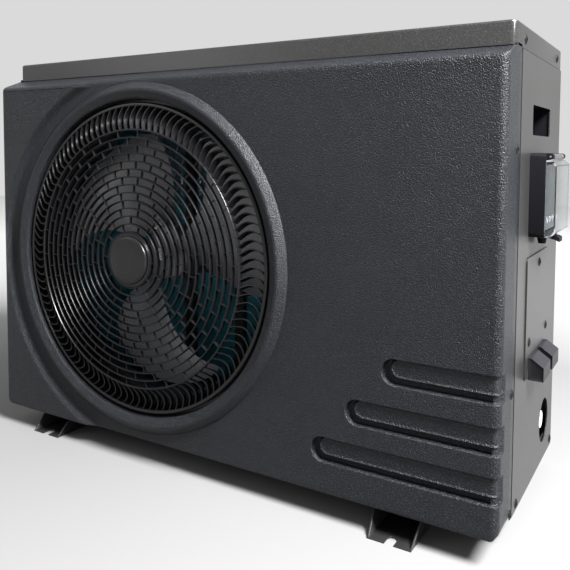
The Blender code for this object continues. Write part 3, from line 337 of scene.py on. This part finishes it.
# Painted shade: the zinc-plated inner parts are coloured nearly black, standing in for the shade inside the
# cabinet, so they show no bright reflections through the grille.
SHADE_PAINTED_ZINC = surface("zinc_painted_shade", (0.030, 0.030, 0.031), 0.60, grain=120, metallic=0.3,
                    rough_vary=0.12, specular=0.3)
SHADE_PAINTED_NODES = ("motor_bracket", "coil_tube_plate", "partition_plate", "base_pan", "terminal_bracket")
SLOT_OF = {part["node"]: part["material_slot"] for part in frame["record"]["subparts"]}


# ---------------------------------------------------------------- making pieces


def piece(name, bm, slot, body="cabinet", sharp=40.0, finish=None, merge=0.0):
    """Makes a piece from a bmesh in cabinet coordinates, and lets it ride on a body."""
    if merge:
        bmesh.ops.remove_doubles(bm, verts=bm.verts, dist=merge)
    bmesh.ops.recalc_face_normals(bm, faces=bm.faces)
    bmesh.ops.translate(bm, verts=bm.verts, vec=ORIGIN)
    mesh = bpy.data.meshes.new(name)
    bm.to_mesh(mesh)
    bm.free()
    mesh.shade_smooth()
    mesh.set_sharp_from_angle(angle=math.radians(sharp))
    obj = bpy.data.objects.new(name, mesh)
    bpy.context.scene.collection.objects.link(obj)
    mesh.materials.append(finish or MATERIALS[slot])
    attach(obj, body)
    return obj


def round_edges(obj, width):
    """Rounds a piece's edges."""
    modifier = obj.modifiers.new("edges", "BEVEL")
    modifier.width = width
    modifier.segments = 2
    modifier.limit_method = "ANGLE"
    modifier.angle_limit = math.radians(30)
    modifier.harden_normals = True


def sink_cheeks(bm, node, depth):
    """Sinks a node's front and rear faces inside a narrow frame."""
    bm.normal_update()
    low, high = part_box(node)
    cheeks = []
    for face in bm.faces:
        y = face.calc_center_median().y
        if abs(face.normal.y) > 0.9 and min(y - low[1], high[1] - y) < 0.0002:
            cheeks.append(face)
    bmesh.ops.inset_individual(bm, faces=cheeks, thickness=CHEEK_FRAME, depth=-depth,
                               use_even_offset=True)


def softened(node, width, sunk=0.0, change=None, finish=None):
    """Stands a copy with rounded edges, and sunk cheeks where asked, in a CAD node's place."""
    bm = bmesh.new()
    bm.from_mesh(frame["nodes"][node].data)
    bmesh.ops.remove_doubles(bm, verts=bm.verts, dist=0.00002)
    bmesh.ops.dissolve_limit(bm, angle_limit=math.radians(1), verts=bm.verts, edges=bm.edges)
    if change:
        change(bm)
    if sunk:
        sink_cheeks(bm, node, sunk)
    bmesh.ops.translate(bm, verts=bm.verts, vec=-ORIGIN)
    bodies = frame["record"]["behaviour"]["bodies"]
    body = next(name for name, nodes in bodies.items() if node in nodes)
    obj = piece(f"{node}_shell", bm, SLOT_OF[node], body, finish=finish)
    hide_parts(node)
    round_edges(obj, width)


def ring_of(bm, points):
    return [bm.verts.new(point) for point in points]


def bridge(bm, first, second, closed=True):
    """Joins two rings, or two open lines, of as many points with faces."""
    count = len(first)
    for i in range(count if closed else count - 1):
        j = (i + 1) % count
        bm.faces.new((first[i], first[j], second[j], second[i]))


# Which coordinates u, v and w are, when w runs along each axis
AXES = {"X": (1, 2, 0), "Y": (0, 2, 1), "Z": (0, 1, 2)}


def place(axis, u, v, w):
    point = [0.0, 0.0, 0.0]
    for index, value in zip(AXES[axis], (u, v, w)):
        point[index] = value
    return point


def arc(u, v, radius, start, end, steps):
    turns = [math.radians(start + (end - start) * i / steps) for i in range(steps + 1)]
    return [(u + radius * math.cos(a), v + radius * math.sin(a)) for a in turns]


def prism(bm, outline, axis, low, high):
    ends = [ring_of(bm, [place(axis, u, v, w) for u, v in outline]) for w in (low, high)]
    for end in ends:
        bm.faces.new(end)
    bridge(bm, *ends)


def turned(bm, profile, axis, u, v, segments, closed=True):
    """Turns a profile of (radius, place along the axis) round a line through (u, v)."""
    turns = [2 * math.pi * i / segments for i in range(segments)]
    rings = []
    for radius, along in profile:
        spots = [place(axis, u + radius * math.cos(a), v + radius * math.sin(a), along) for a in turns]
        rings.append(ring_of(bm, spots if radius else spots[:1]))
    pairs = list(zip(rings, rings[1:]))
    if closed:
        pairs.append((rings[-1], rings[0]))
    for ring, after in pairs:
        for i in range(segments):
            j = (i + 1) % segments
            corners = [ring[i % len(ring)], ring[j % len(ring)], after[j % len(after)],
                       after[i % len(after)]]
            corners = list(dict.fromkeys(corners))
            if len(corners) > 2:
                bm.faces.new(corners)


def turned_about_axle(bm, profile, segments, closed=True):
    turned(bm, profile, "Y", FAN_X, FAN_Z, segments, closed)


def curve(start, corner, end, steps):
    """Points on a quadratic curve from start to end, drawn towards a corner."""
    points = []
    for i in range(steps + 1):
        t = i / steps
        points.append(start * (1 - t) ** 2 + corner * 2 * t * (1 - t) + end * t * t)
    return points


def fillet(points, radius, steps=4):
    """Rounds each inner corner of an open line of (u, v) points."""
    line = [Vector(points[0])]
    for before, corner, after in zip(points, points[1:], points[2:]):
        before, corner, after = Vector(before), Vector(corner), Vector(after)
        reach = min(radius, (before - corner).length * 0.45, (after - corner).length * 0.45)
        start = corner + (before - corner).normalized() * reach
        end = corner + (after - corner).normalized() * reach
        line += curve(start, corner, end, steps)
    line.append(Vector(points[-1]))
    return [tuple(point) for point in line]


def smooth(value):
    """An S-shaped step from 0 to 1 as the value goes from 0 to 1."""
    value = min(1.0, max(0.0, value))
    return value * value * (3 - 2 * value)


def spread(low, high, step):
    """Evenly spaced places from low up to, but without, high, at most a step apart."""
    count = max(1, math.ceil((high - low) / step))
    return [low + (high - low) * i / count for i in range(count)]


# ---------------------------------------------------------------- front panel


def face_y(x, z):
    """The moulding's front: flat, with its left corners standing proud."""
    if x > PLATEAU_X:
        return 0.0
    out = math.hypot(x - PLATEAU_X, z - PLATEAU_Z) - (PLATEAU_R - PLATEAU_SLOPE)
    return PLATEAU_Y * smooth(out / PLATEAU_SLOPE)


def slot_inset(x, z, left, bottom, height, radius):
    """How far a point lies inside a slot that has a round left end."""
    middle = bottom + height / 2
    if x < left + radius:
        return radius - math.hypot(x - left - radius, z - middle)
    return radius - abs(z - middle)


def louvre_depth(x, z):
    """How far the louvres sink the face: a slot, a tongue in it and a lip round the tongue."""
    deepest = 0.0
    for left, bottom in LOUVRES:
        inside = slot_inset(x, z, left, bottom, LOUVRE_H, LOUVRE_H / 2)
        if inside <= 0:
            continue
        tongue_h = LOUVRE_H - SLOT_H
        tongue = slot_inset(x, z, left + TONGUE_START, bottom + SLOT_H, tongue_h, tongue_h / 2)
        on_tongue = max(smooth((tongue + 0.0016) / 0.0032), smooth((x - SLOT_END) / 0.004))
        lip = LIP_RISE * math.exp(-((tongue - 0.0022) / 0.0014) ** 2)
        depth = SLOT_DEPTH + (TONGUE_DEPTH - lip - SLOT_DEPTH) * on_tongue
        deepest = max(deepest, depth * smooth(inside / 0.0026))
    return deepest


def fan_side_columns():
    """The left side, its rounded corner, and the face as far as the plain side."""
    columns = [(x, SKIN_END, (1, 0), 0, 0) for x in (REAR_LIP, REAR_EASE)]
    for y in (SKIN_END - REAR_EASE, 0.050, SETBACK, 0.020, 0.010):
        columns.append((0.0, y, (1, 0), 0, 0))
    middle_y = PLATEAU_Y + CORNER_R
    for x, y in arc(CORNER_R, middle_y, CORNER_R, 180, 270, 8):
        columns.append((x, y, ((CORNER_R - x) / CORNER_R, (middle_y - y) / CORNER_R), x, 0))
    for x in spread(0.0125, PLAIN_START, FAN_STEP) + [PLAIN_START]:
        columns.append((x, None, (0, 1), x, 0))
    return columns


def plain_side_columns():
    """The face with the louvres, the rounded right corner, and the right side."""
    stops = [PLAIN_START]
    for start, _ in sorted(LOUVRES):
        stops += [start - 0.002, start + 0.034]
    xs = []
    for k, (low, high) in enumerate(zip(stops, stops[1:] + [SLOT_END - 0.002])):
        xs += spread(low, high, END_STEP if k % 2 else FLAT_STEP)
    xs += spread(SLOT_END - 0.002, WIDTH - CORNER_R, END_STEP)
    columns = [(x, None, (0, 1), x, 1) for x in xs]
    for x, y in arc(WIDTH - CORNER_R, CORNER_R, CORNER_R, 270, 360, 8):
        normal = ((WIDTH - CORNER_R - x) / CORNER_R, (CORNER_R - y) / CORNER_R)
        columns.append((x, y, normal, WIDTH, 1))
    fading = (0.0115, 0.013, 0.015, 0.017, 0.019, 0.021, 0.0225, 0.024)
    for y in (*fading, SETBACK, 0.050, SKIN_END - REAR_EASE):
        columns.append((WIDTH, y, (-1, 0), WIDTH, 1 - smooth((y - 0.0145) / 0.008)))
    for x in (WIDTH - REAR_EASE, WIDTH - REAR_LIP):
        columns.append((x, SKIN_END, (-1, 0), WIDTH, 0))
    return columns


def panel_rows(fine):
    """Heights of the moulding's rows, closest together across the louvres' edges where fine."""
    low, high = LOWER_EASE, FACE_TOP - 0.0085
    if not fine:
        return spread(low, high, FAN_STEP) + [high]
    rows = []
    cursor = low
    for _, bottom in sorted(LOUVRES, key=lambda louvre: louvre[1]):
        top = bottom + LOUVRE_H
        tongue = bottom + SLOT_H + 0.005
        bands = ((cursor, bottom - 0.001, FLAT_STEP), (bottom - 0.001, tongue, 0.0007),
                 (tongue, top - 0.005, 0.0020), (top - 0.005, top + 0.001, 0.0006))
        for start, end, step in bands:
            rows += spread(start, end, step)
        cursor = top + 0.001
    return rows + spread(cursor, high, 0.008) + [high]


def corner_rounded(point):
    """Rounds the moulding's two lower corners as seen from the front."""
    for corner, inward, radius in ((0.0, 1, LOWER_LEFT_R), (WIDTH, -1, LOWER_RIGHT_R)):
        rise = radius - point.z
        if 0 < rise <= radius:
            least = radius - math.sqrt(radius ** 2 - rise ** 2)
            if (point.x - corner) * inward < least:
                point.x = corner + inward * least
    return point


def upper_edge(last):
    """The points above a column's last row, which end under the top cover."""
    if last.y >= SETBACK:
        top = Vector((last.x, last.y, SIDE_TOP))
        return [last.lerp(top, i / 6) for i in range(1, 8)]
    rise = (SIDE_TOP - FACE_TOP) / SETBACK
    ridge = Vector((last.x, last.y, FACE_TOP + last.y * rise))
    back = Vector((last.x, SETBACK + 0.002, SIDE_TOP + 0.002 * rise - 0.0006))
    down, along = last - ridge, back - ridge
    start = ridge + down.normalized() * UPPER_EASE
    end = ridge + along.normalized() * min(UPPER_EASE, along.length * 0.5)
    return curve(start, ridge, end, 5) + [back]


def column_points(column, rows):
    """A column of the panel's skin, from the lip under it to the edge under the top cover.

    A column is (x, y, inward normal, x that the louvres see, how far they reach), and y is
    None where the face's own shape gives it.
    """
    x, plan_y, inward, seen_x, reach = column
    inward = Vector((*inward, 0))

    def at(z, sink=0.0):
        y = face_y(x, z) if plan_y is None else plan_y
        return corner_rounded(Vector((x, y, z)) + inward * sink)

    points = [at(0.0, LOWER_LIP), at(0.0, LOWER_EASE)]
    for angle in (math.radians(30), math.radians(60)):
        points.append(at(LOWER_EASE - LOWER_EASE * math.cos(angle),
                         LOWER_EASE - LOWER_EASE * math.sin(angle)))
    for z in rows:
        points.append(at(z, louvre_depth(seen_x, z) * reach if reach else 0.0))
    return points + upper_edge(at(rows[-1]))


def panel_patch(bm, columns, rows, hole=0.0):
    """Part of the moulding's skin, with a round hole of this radius about the fan's axis."""
    grid = [ring_of(bm, column_points(column, rows)) for column in columns]
    for column, after in zip(grid, grid[1:]):
        for j in range(len(column) - 1):
            corners = (column[j], after[j], after[j + 1], column[j + 1])
            middle = sum((corner.co for corner in corners), Vector()) / 4
            if math.hypot(middle.x - FAN_X, middle.z - FAN_Z) >= hole:
                bm.faces.new(corners)
    for vert in [vert for vert in bm.verts if not vert.link_faces]:
        bm.verts.remove(vert)
    if not hole:
        return
    for vert in bm.verts:
        away = Vector((vert.co.x - FAN_X, 0, vert.co.z - FAN_Z))
        if vert.is_boundary and away.length < hole + 0.006 and vert.co.y < 0.001:
            vert.co = Vector((FAN_X, vert.co.y, FAN_Z)) + away.normalized() * hole


def ring_profile():
    """The raised ring: a foot, a steep outer slope, a crest and a broad inner slope."""
    outer = [(RING_FOOT_R + 0.0030, 0.0004), (RING_FOOT_R, 0.0002), (RING_FOOT_R - 0.0012, -0.0022),
             (0.2705, -0.0102), (0.2665, -0.0106), (0.2560, -0.0066)]
    inner = [(0.2540, -0.0046), (0.2540, 0.0115), (0.2570, 0.0115)]
    return fillet(outer + inner, 0.0016, 4)


def front_panel():
    bm = bmesh.new()
    panel_patch(bm, fan_side_columns(), panel_rows(False), RING_FOOT_R + 0.0012)
    panel_patch(bm, plain_side_columns(), panel_rows(True))
    skin = piece("panel_skin", bm, "shell_plastic", merge=0.00001, sharp=50)
    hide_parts("front_panel")
    bm = bmesh.new()
    turned_about_axle(bm, ring_profile(), 288, closed=False)
    piece("fan_ring_moulding", bm, "shell_plastic", sharp=50)


# ---------------------------------------------------------------- grille


def dome_y(radius):
    """How far back the grille's front lies at a radius."""
    if radius <= VANE_RING_R:
        return -0.0172 + 0.0068 * (radius / VANE_RING_R) ** 2
    return -0.0104 + 0.0090 * (radius - VANE_RING_R) / (RIM_R - 0.006 - VANE_RING_R)


def polar(turn, radius, y):
    angle = math.radians(turn)
    return Vector((FAN_X + radius * math.cos(angle), y, FAN_Z + radius * math.sin(angle)))


def grille_piece(name, bm):
    return piece(name, bm, "grille_plastic", sharp=50)


def grille_rings(radii):
    bm = bmesh.new()
    for radius in radii:
        y = dome_y(radius)
        half = 0.0010 if radius < radii[-1] else 0.0015
        shoulder, back = y + 0.0012, y + 0.0072
        profile = [(radius - half * 0.5, y), (radius + half * 0.5, y), (radius + half, shoulder),
                   (radius + half, back), (radius - half, back), (radius - half, shoulder)]
        turned_about_axle(bm, profile, 144)
    rings = grille_piece("grille_rings", bm)
    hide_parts("fan_grille")


def rib(bm, turn, inner, outer):
    """A short radial bar with a narrow nose."""
    half, nose, depth = 0.0006, 0.0004, 0.0045
    sections = []
    for radius in (inner, outer):
        y = dome_y(radius) + 0.0004
        across = math.degrees(1 / radius)
        outline = ((-nose, 0.0), (nose, 0.0), (half, 0.001), (half, depth), (-half, depth), (-half, 0.001))
        sections.append(ring_of(bm, [polar(turn + side * across, radius, y + back)
                                     for side, back in outline]))
    bridge(bm, *sections)
    for section in sections:
        bm.faces.new(section)


def grille_ribs(radii):
    """Ribs between each two rings from the rim inwards, and spokes from the first ring to the hub."""
    # how many ribs each row has, and where its first one stands
    rows = [(30, 2), (30, 8)] * 3
    rows += [(24, 8), (20, 14), (18, 1), (16, 10), (13, 22), (10, 16), (10, 34)]
    spokes, first_spoke = 10, 16
    bm = bmesh.new()
    for (count, first_turn), outer, inner in zip(rows, radii[::-1], radii[-2::-1]):
        for i in range(count):
            rib(bm, first_turn + 360 * i / count, inner, outer)
    for i in range(spokes):
        rib(bm, first_spoke + 360 / spokes * i, HUB_R - 0.004, radii[0])
    grille_piece("grille_ribs", bm)


def vane(bm, turn):
    """A curved blade between the outermost ring and the rim."""
    steps, half, depth, lean = 8, 0.0007, 0.011, -1.0
    inner, outer = VANE_RING_R, RIM_R - 0.0050
    sections = []
    for i in range(steps + 1):
        t = i / steps
        radius = inner + (outer - inner) * t
        front = dome_y(radius) + 0.0025 * math.sin(math.pi * t)
        bow = 2.4 * math.sin(math.pi * t) - 1.0 * t
        across = math.degrees(1 / radius)
        sections.append(ring_of(bm, [polar(turn + bow - half * across, radius, front),
                                     polar(turn + bow + half * across, radius, front),
                                     polar(turn + bow + lean + half * across, radius, front + depth),
                                     polar(turn + bow + lean - half * across, radius, front + depth)]))
    for first, second in zip(sections, sections[1:]):
        bridge(bm, first, second)
    bm.faces.new(sections[0])
    bm.faces.new(sections[-1])


def grille_vanes():
    bm = bmesh.new()
    for i in range(VANES):
        vane(bm, 360 * i / VANES)
    grille_piece("grille_vanes", bm)


def grille_rim():
    bm = bmesh.new()
    inner = RIM_R - 0.0062
    front = dome_y(inner)
    profile = [(inner, front + 0.011), (inner, front), (RIM_R - 0.0018, front + 0.0002),
               (RIM_R, front + 0.0030), (RIM_R, front + 0.0088), (RIM_R - 0.002, front + 0.0095)]
    turned_about_axle(bm, fillet(profile, 0.0010, 3), 192)
    grille_piece("grille_rim", bm)


def grille_hub():
    """The blank cap, and the ring that it sits in."""
    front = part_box("grille_cap")[0][1] - ORIGIN.y
    base = dome_y(HUB_R)
    bm = bmesh.new()
    line = fillet([(0.0, front + 0.0004), (0.020, front + 0.0002), (CAP_R - 0.0025, front + 0.0010),
                   (CAP_R, front + 0.0030), (CAP_R, base + 0.004)], 0.0012, 3)
    turned_about_axle(bm, line + [(0.0, base + 0.004)], 96)
    cap = grille_piece("grille_cap_cover", bm)
    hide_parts("grille_cap")
    bm = bmesh.new()
    inner, outer, back = CAP_R + 0.0006, HUB_R + 0.0020, base + 0.0075
    turned_about_axle(bm, [(inner, base + 0.0004), (HUB_R + 0.0012, base), (outer, base + 0.001),
                           (outer, back), (inner, back)], 96)
    grille_piece("grille_hub_ring", bm)


def grille():
    pitch = (VANE_RING_R - 0.0010 - FIRST_RING_R) / RING_COUNT
    radii = [FIRST_RING_R + i * pitch for i in range(RING_COUNT + 1)]
    grille_rings(radii)
    grille_ribs(radii)
    grille_vanes()
    grille_rim()
    grille_hub()


# ---------------------------------------------------------------- fan and coil


def blade_skin(bm, turn, tip, side):
    """The front (0) or rear (1) face of a blade: lines of points across it, from root to tip."""
    across, along = 16, 22
    root = FAN_HUB_R - FAN_HUB_WALL
    grid = []
    for i in range(across + 1):
        t = i / across
        radius = root + t * (tip - FAN_HUB_R + FAN_HUB_WALL)
        width = BLADE_WIDTH + BLADE_FLARE * t
        row = []
        for j in range(along + 1):
            s = j / along
            trim = 1 - 0.035 * t ** 8 * (2 * s - 1) ** 8
            angle = turn + BLADE_SWEEP * t * t + width * (s - 0.5)
            edge = min(s, 1 - s, (1 - t) * 1.5)
            thick = BLADE_EDGE + BLADE_SWELL * min(1.0, edge / 0.08)
            y = BLADE_BACK_Y - BLADE_PITCH * s - BLADE_BOW * math.sin(math.pi * s) + thick * (side - 0.5)
            row.append(bm.verts.new(polar(angle, radius * trim, y)))
        grid.append(row)
    return grid


def fan_blades():
    low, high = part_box("fan_rotor")
    tip = (high[0] - low[0]) / 2 + 0.0005
    bm = bmesh.new()
    for number in range(BLADES):
        turn = BLADE_TURN + 360 / BLADES * number
        skins = [blade_skin(bm, turn, tip, side) for side in (0, 1)]
        edges = []
        for grid in skins:
            for first, second in zip(grid, grid[1:]):
                bridge(bm, first, second, closed=False)
            edge = [row[0] for row in grid] + grid[-1][1:] + [row[-1] for row in grid[-2::-1]]
            edges.append(edge + grid[0][-2:0:-1])
        bridge(bm, *edges)
    blades = piece("fan_blades", bm, "fan_plastic", "fan")
    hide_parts("fan_rotor")


def fan_hub():
    """A cup round a bored boss, joined by ribs."""
    front, back = FAN_HUB_FRONT, FAN_HUB_BACK
    bm = bmesh.new()
    line = fillet([(BORE_R, front), (0.030, front + 0.0005), (FAN_HUB_R, front + 0.004),
                   (FAN_HUB_R, back)], 0.004, 5)
    inside = FAN_HUB_R - FAN_HUB_WALL
    turned_about_axle(bm, line + [(inside, back), (inside, front + 0.008), (BOSS_R, front + 0.010),
                                  (BOSS_R, back), (BORE_R, back)], 72)
    piece("fan_hub", bm, "fan_plastic", "fan")

    bm = bmesh.new()
    centre = Vector((FAN_X, 0, FAN_Z))
    near, far = BOSS_R + 0.0002, inside - 0.0002
    rib_front, rib_back = front + 0.0102, back - 0.006
    outline = ((near, rib_front), (near, rib_back), (far, rib_back), (far, rib_front))
    for i in range(HUB_RIBS):
        angle = math.radians(360 / HUB_RIBS * i + 30)
        out = Vector((math.cos(angle), 0, math.sin(angle)))
        side = Vector((-math.sin(angle), 0, math.cos(angle))) * 0.0012
        corners = [centre + out * radius + Vector((0, y, 0)) for radius, y in outline]
        ends = [ring_of(bm, [corner + shift for corner in corners]) for shift in (-side, side)]
        bridge(bm, *ends)
        for end in ends:
            bm.faces.new(end)
    piece("fan_hub_ribs", bm, "fan_plastic", "fan")


def coil():
    """L-shaped fins with turned-down edges, on two rows of tubes."""
    low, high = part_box("evaporator_coil")
    x0, x1 = low[0] - ORIGIN.x, high[0] - ORIGIN.x
    y0, y1 = low[1] - ORIGIN.y, high[1] - ORIGIN.y
    z0, z1 = low[2] - ORIGIN.z, high[2] - ORIGIN.z
    centre_x, centre_y = x0 + COIL_R, y1 - COIL_R

    def run(inset):
        """The coil's plan at a depth from its outer side."""
        bend = arc(centre_x, centre_y, COIL_R - inset, 180, 90, 8)
        return [(x0 + inset, y0)] + bend + [(x1, y1 - inset)]

    drop = FIN_PITCH / 2
    levels = ((0.0, -drop - FIN_HEM), (0.0004, -drop), (COIL_THICK - 0.0004, 0.0),
              (COIL_THICK, -FIN_HEM))
    bm = bmesh.new()
    for k in range(int((z1 - z0 - 0.002) / FIN_PITCH) - 1):
        z = z0 + 0.001 + FIN_PITCH * (k + 1.3)
        lines = [ring_of(bm, [(x, y, z + rise) for x, y in run(inset)]) for inset, rise in levels]
        for first, second in zip(lines, lines[1:]):
            bridge(bm, first, second, closed=False)
    fins = piece("coil_fins", bm, "blue_fins", sharp=30)
    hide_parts("evaporator_coil")

    bottom, top = z0 + 0.0005, z1 - 0.0005
    profile = [(TUBE_R, bottom), (TUBE_R, top), (TUBE_BORE_R, top), (TUBE_BORE_R, bottom)]
    bm = bmesh.new()
    for inset in TUBE_ROWS:
        line = run(inset)
        spots = [(line[0][0], y) for y in spread(y0 + 0.012, centre_y, TUBE_PITCH)] + line[3:-3:3]
        spots += [(x, line[-1][1]) for x in spread(centre_x, x1, TUBE_PITCH)[1:]]
        for x, y in spots:
            turned(bm, profile, "Z", x, y, 10)
    piece("coil_tubes", bm, "copper", sharp=50)


def wire(bm, start, end):
    """A straight round wire with closed ends."""
    along = (end - start).normalized()
    up = Vector((0, 0, 1)) if abs(along.z) < 0.9 else Vector((1, 0, 0))
    side = along.cross(up).normalized()
    up = side.cross(along)
    turns = [2 * math.pi * k / WIRE_SIDES for k in range(WIRE_SIDES)]
    ends = []
    for point in (start, end):
        ends.append(ring_of(bm, [point + side * WIRE_R * math.cos(a) + up * WIRE_R * math.sin(a)
                                 for a in turns]))
    bridge(bm, *ends)
    for ring in ends:
        bm.faces.new(ring)


def wire_places(low, high, count):
    return [low + WIRE_R + (high - low - 2 * WIRE_R) * i / (count - 1) for i in range(count)]


def wire_guard(node, flat, inward, uprights, levels):
    """A grid of wires across the axis numbered flat, with the upright ones outside."""
    low = Vector(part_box(node)[0]) - ORIGIN
    high = Vector(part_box(node)[1]) - ORIGIN
    run = 1 - flat
    outside = (low if inward > 0 else high)[flat] + inward * WIRE_R
    inside = outside + inward * (2 * WIRE_R * 0.96) * 0.5

    def point(depth, along, z):
        spot = Vector((along, along, z))
        spot[flat] = depth
        return spot

    bm = bmesh.new()
    for along in wire_places(low[run], high[run], uprights):
        wire(bm, point(outside, along, low.z), point(outside, along, high.z))
    for z in wire_places(low.z, high.z, levels):
        wire(bm, point(inside, low[run], z), point(inside, high[run], z))
    guard = piece(f"{node}_wires", bm, "foot_paint", sharp=50)
    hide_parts(node)


# ---------------------------------------------------------------- screws and edges


def screw(bm, centre, axis, outward):
    """A pan head with a cross recess and a washer face, standing along an axis; the washer's dark ring also paints
    the shade of the gap round the head.
    """
    circles = []
    for i in range(HEAD_RINGS + 1):
        crown = HEAD_H * math.sqrt(max(0.0, 1 - (0.92 * i / HEAD_RINGS) ** 2))
        circles.append((HEAD_R * i / HEAD_RINGS, crown))
    # The washer face is black like the head, and its ring also stands in for the shaded gap round the head.
    circles += [(1.25 * HEAD_R, 0.0004), (1.3 * HEAD_R, 0.0)]
    grid = []
    for out, height in circles:
        ring = []
        for k in range(HEAD_SIDES):
            angle = 2 * math.pi * k / HEAD_SIDES
            u, v = out * math.cos(angle), out * math.sin(angle)
            in_cross = min(abs(u), abs(v)) < 0.16 * HEAD_R and max(abs(u), abs(v)) < 0.62 * HEAD_R
            rise = height - HEAD_H * 0.75 if in_cross else height
            ring.append(bm.verts.new(Vector(centre) + Vector(place(axis, u, v, outward * rise))))
        grid.append(ring)
    for first, second in zip(grid, grid[1:]):
        bridge(bm, first, second)


def screws():
    """Heads on the right side and top cover, the access cover, and the rear panel."""
    cover_side = COVER_HIGH[0] - ORIGIN.x
    access_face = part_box("access_cover")[1][0] - ORIGIN.x
    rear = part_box("rear_panel")[1][1] - ORIGIN.y
    right = [(WIDTH, 0.052, 0.470), (WIDTH, 0.055, 0.166), (WIDTH, 0.061, 0.009), (WIDTH, 0.095, 0.009),
             (WIDTH, 0.331, 0.011), (cover_side, 0.085, 0.606), (cover_side, 0.304, 0.6075)]
    access = [(access_face, 0.2006, 0.3127), (access_face, 0.2590, 0.2108),
              (access_face, 0.1424, 0.2115)]
    bm = bmesh.new()
    for spot in right + access:
        screw(bm, spot, "X", 1)
    for _, y, z in right:
        screw(bm, (HEAD_H, y, z), "X", -1)
    for x in (0.616, 0.740, 0.856):
        for z in (0.012, 0.580):
            screw(bm, (x, rear, z), "Y", 1)
    piece("case_screws", bm, "zinc_steel", finish=SCREW_BLACK, sharp=35)


def seam_shade_strips():
    """Dark strips sunk in the joint between the moulding and the side sheets, which paint the joint's shade as a
    dark line.
    """
    width = 0.0020
    front, back = SKIN_END - 0.0030, SEAM + 0.0010
    bm = bmesh.new()
    for x in (0.0016, WIDTH - 0.0036):
        outline = fillet([(x, front), (x + width, front), (x + width, back), (x, back)], 0.0004, 2)
        prism(bm, outline, "Z", 0.004, SIDE_TOP - 0.004)
    piece("seam_shade_strips", bm, "rubber", sharp=35)


def base_corners(bm):
    """Draws the pan's front corners in, behind the moulding's rounded ones."""
    bend = ORIGIN + Vector((0, SKIN_END - 0.004, 0))
    bmesh.ops.bisect_plane(bm, geom=bm.verts[:] + bm.edges[:] + bm.faces[:], plane_co=bend,
                           plane_no=(0, 1, 0))
    for vert in bm.verts:
        if vert.co.y - ORIGIN.y < SETBACK:
            middle = ORIGIN.x + WIDTH / 2
            past = abs(vert.co.x - middle) - (WIDTH / 2 - CORNER_DRAW)
            if past > 0:
                vert.co.x -= math.copysign(past, vert.co.x - middle)


def rounded_edges():
    softened("base_pan", 0.0004, change=base_corners)
    for node, width in (("top_cover", 0.0012), ("controller_base", 0.0012), ("left_foot", 0.0006),
                        ("right_foot", 0.0006)):
        softened(node, width)
    for node in ("cable_hood_front", "cable_hood_rear"):
        softened(node, 0.0005, sunk=0.0014, finish=HOOD_PLASTIC)


# ---------------------------------------------------------------- stage


def show(obj):
    bpy.context.scene.collection.objects.link(obj)


def floor():
    places = [FLOOR_HALF * (2 * i / FLOOR_STEPS - 1) for i in range(FLOOR_STEPS + 1)]
    bm = bmesh.new()
    grid = [ring_of(bm, [(x, y, 0.0) for y in places]) for x in places]
    for first, second in zip(grid, grid[1:]):
        bridge(bm, first, second, closed=False)
    mesh = bpy.data.meshes.new("floor")
    bm.to_mesh(mesh)
    bm.free()
    mesh.materials.append(floor_material())
    obj = bpy.data.objects.new("floor", mesh)
    show(obj)


def lights():
    world = bpy.data.worlds.new("studio")
    world.use_nodes = True
    background = world.node_tree.nodes["Background"]
    background.inputs["Color"].default_value = (1.0, 1.0, 1.0, 1.0)
    background.inputs["Strength"].default_value = SURROUND
    bpy.context.scene.world = world
    bpy.context.scene.view_settings.view_transform = "Standard"
    for name, spot, size, power in LAMPS:
        light = bpy.data.lights.new(name, "AREA")
        light.size = size
        light.energy = power
        lamp = bpy.data.objects.new(name, light)
        lamp.location = spot
        aim = ORIGIN + LAMP_TARGET - Vector(spot)
        lamp.rotation_euler = aim.to_track_quat("-Z", "Y").to_euler()
        show(lamp)


def camera():
    lens = bpy.data.cameras.new("camera")
    lens.lens = CAMERA_LENS
    lens.sensor_width = 36
    lens.shift_x, lens.shift_y = CAMERA_SHIFT
    lens.clip_start = 0.02
    eye = bpy.data.objects.new("camera", lens)
    turn = Matrix.Rotation(math.radians(CAMERA_TURN), 4, "Z")
    tilt = Matrix.Rotation(math.radians(90 - CAMERA_DIP), 4, "X")
    roll = Matrix.Rotation(math.radians(CAMERA_ROLL), 4, "Z")
    eye.matrix_world = Matrix.Translation(ORIGIN + CAMERA_PLACE) @ (turn @ tilt) @ roll
    show(eye)
    bpy.context.scene.camera = eye


def finish_nodes():
    """Gives every CAD node that stays its procedural finish."""
    for name, obj in frame["nodes"].items():
        obj.data.materials.clear()
        # The inner zinc parts take the nearly black finish with painted shade.
        obj.data.materials.append(SHADE_PAINTED_ZINC if name in SHADE_PAINTED_NODES else MATERIALS[SLOT_OF[name]])


floor()
lights()
camera()
finish_nodes()
front_panel()
grille()
fan_blades()
fan_hub()
coil()
wire_guard("left_coil_guard", 0, 1, 7, 15)
wire_guard("rear_coil_guard", 1, -1, 15, 15)
screws()
seam_shade_strips()
rounded_edges()
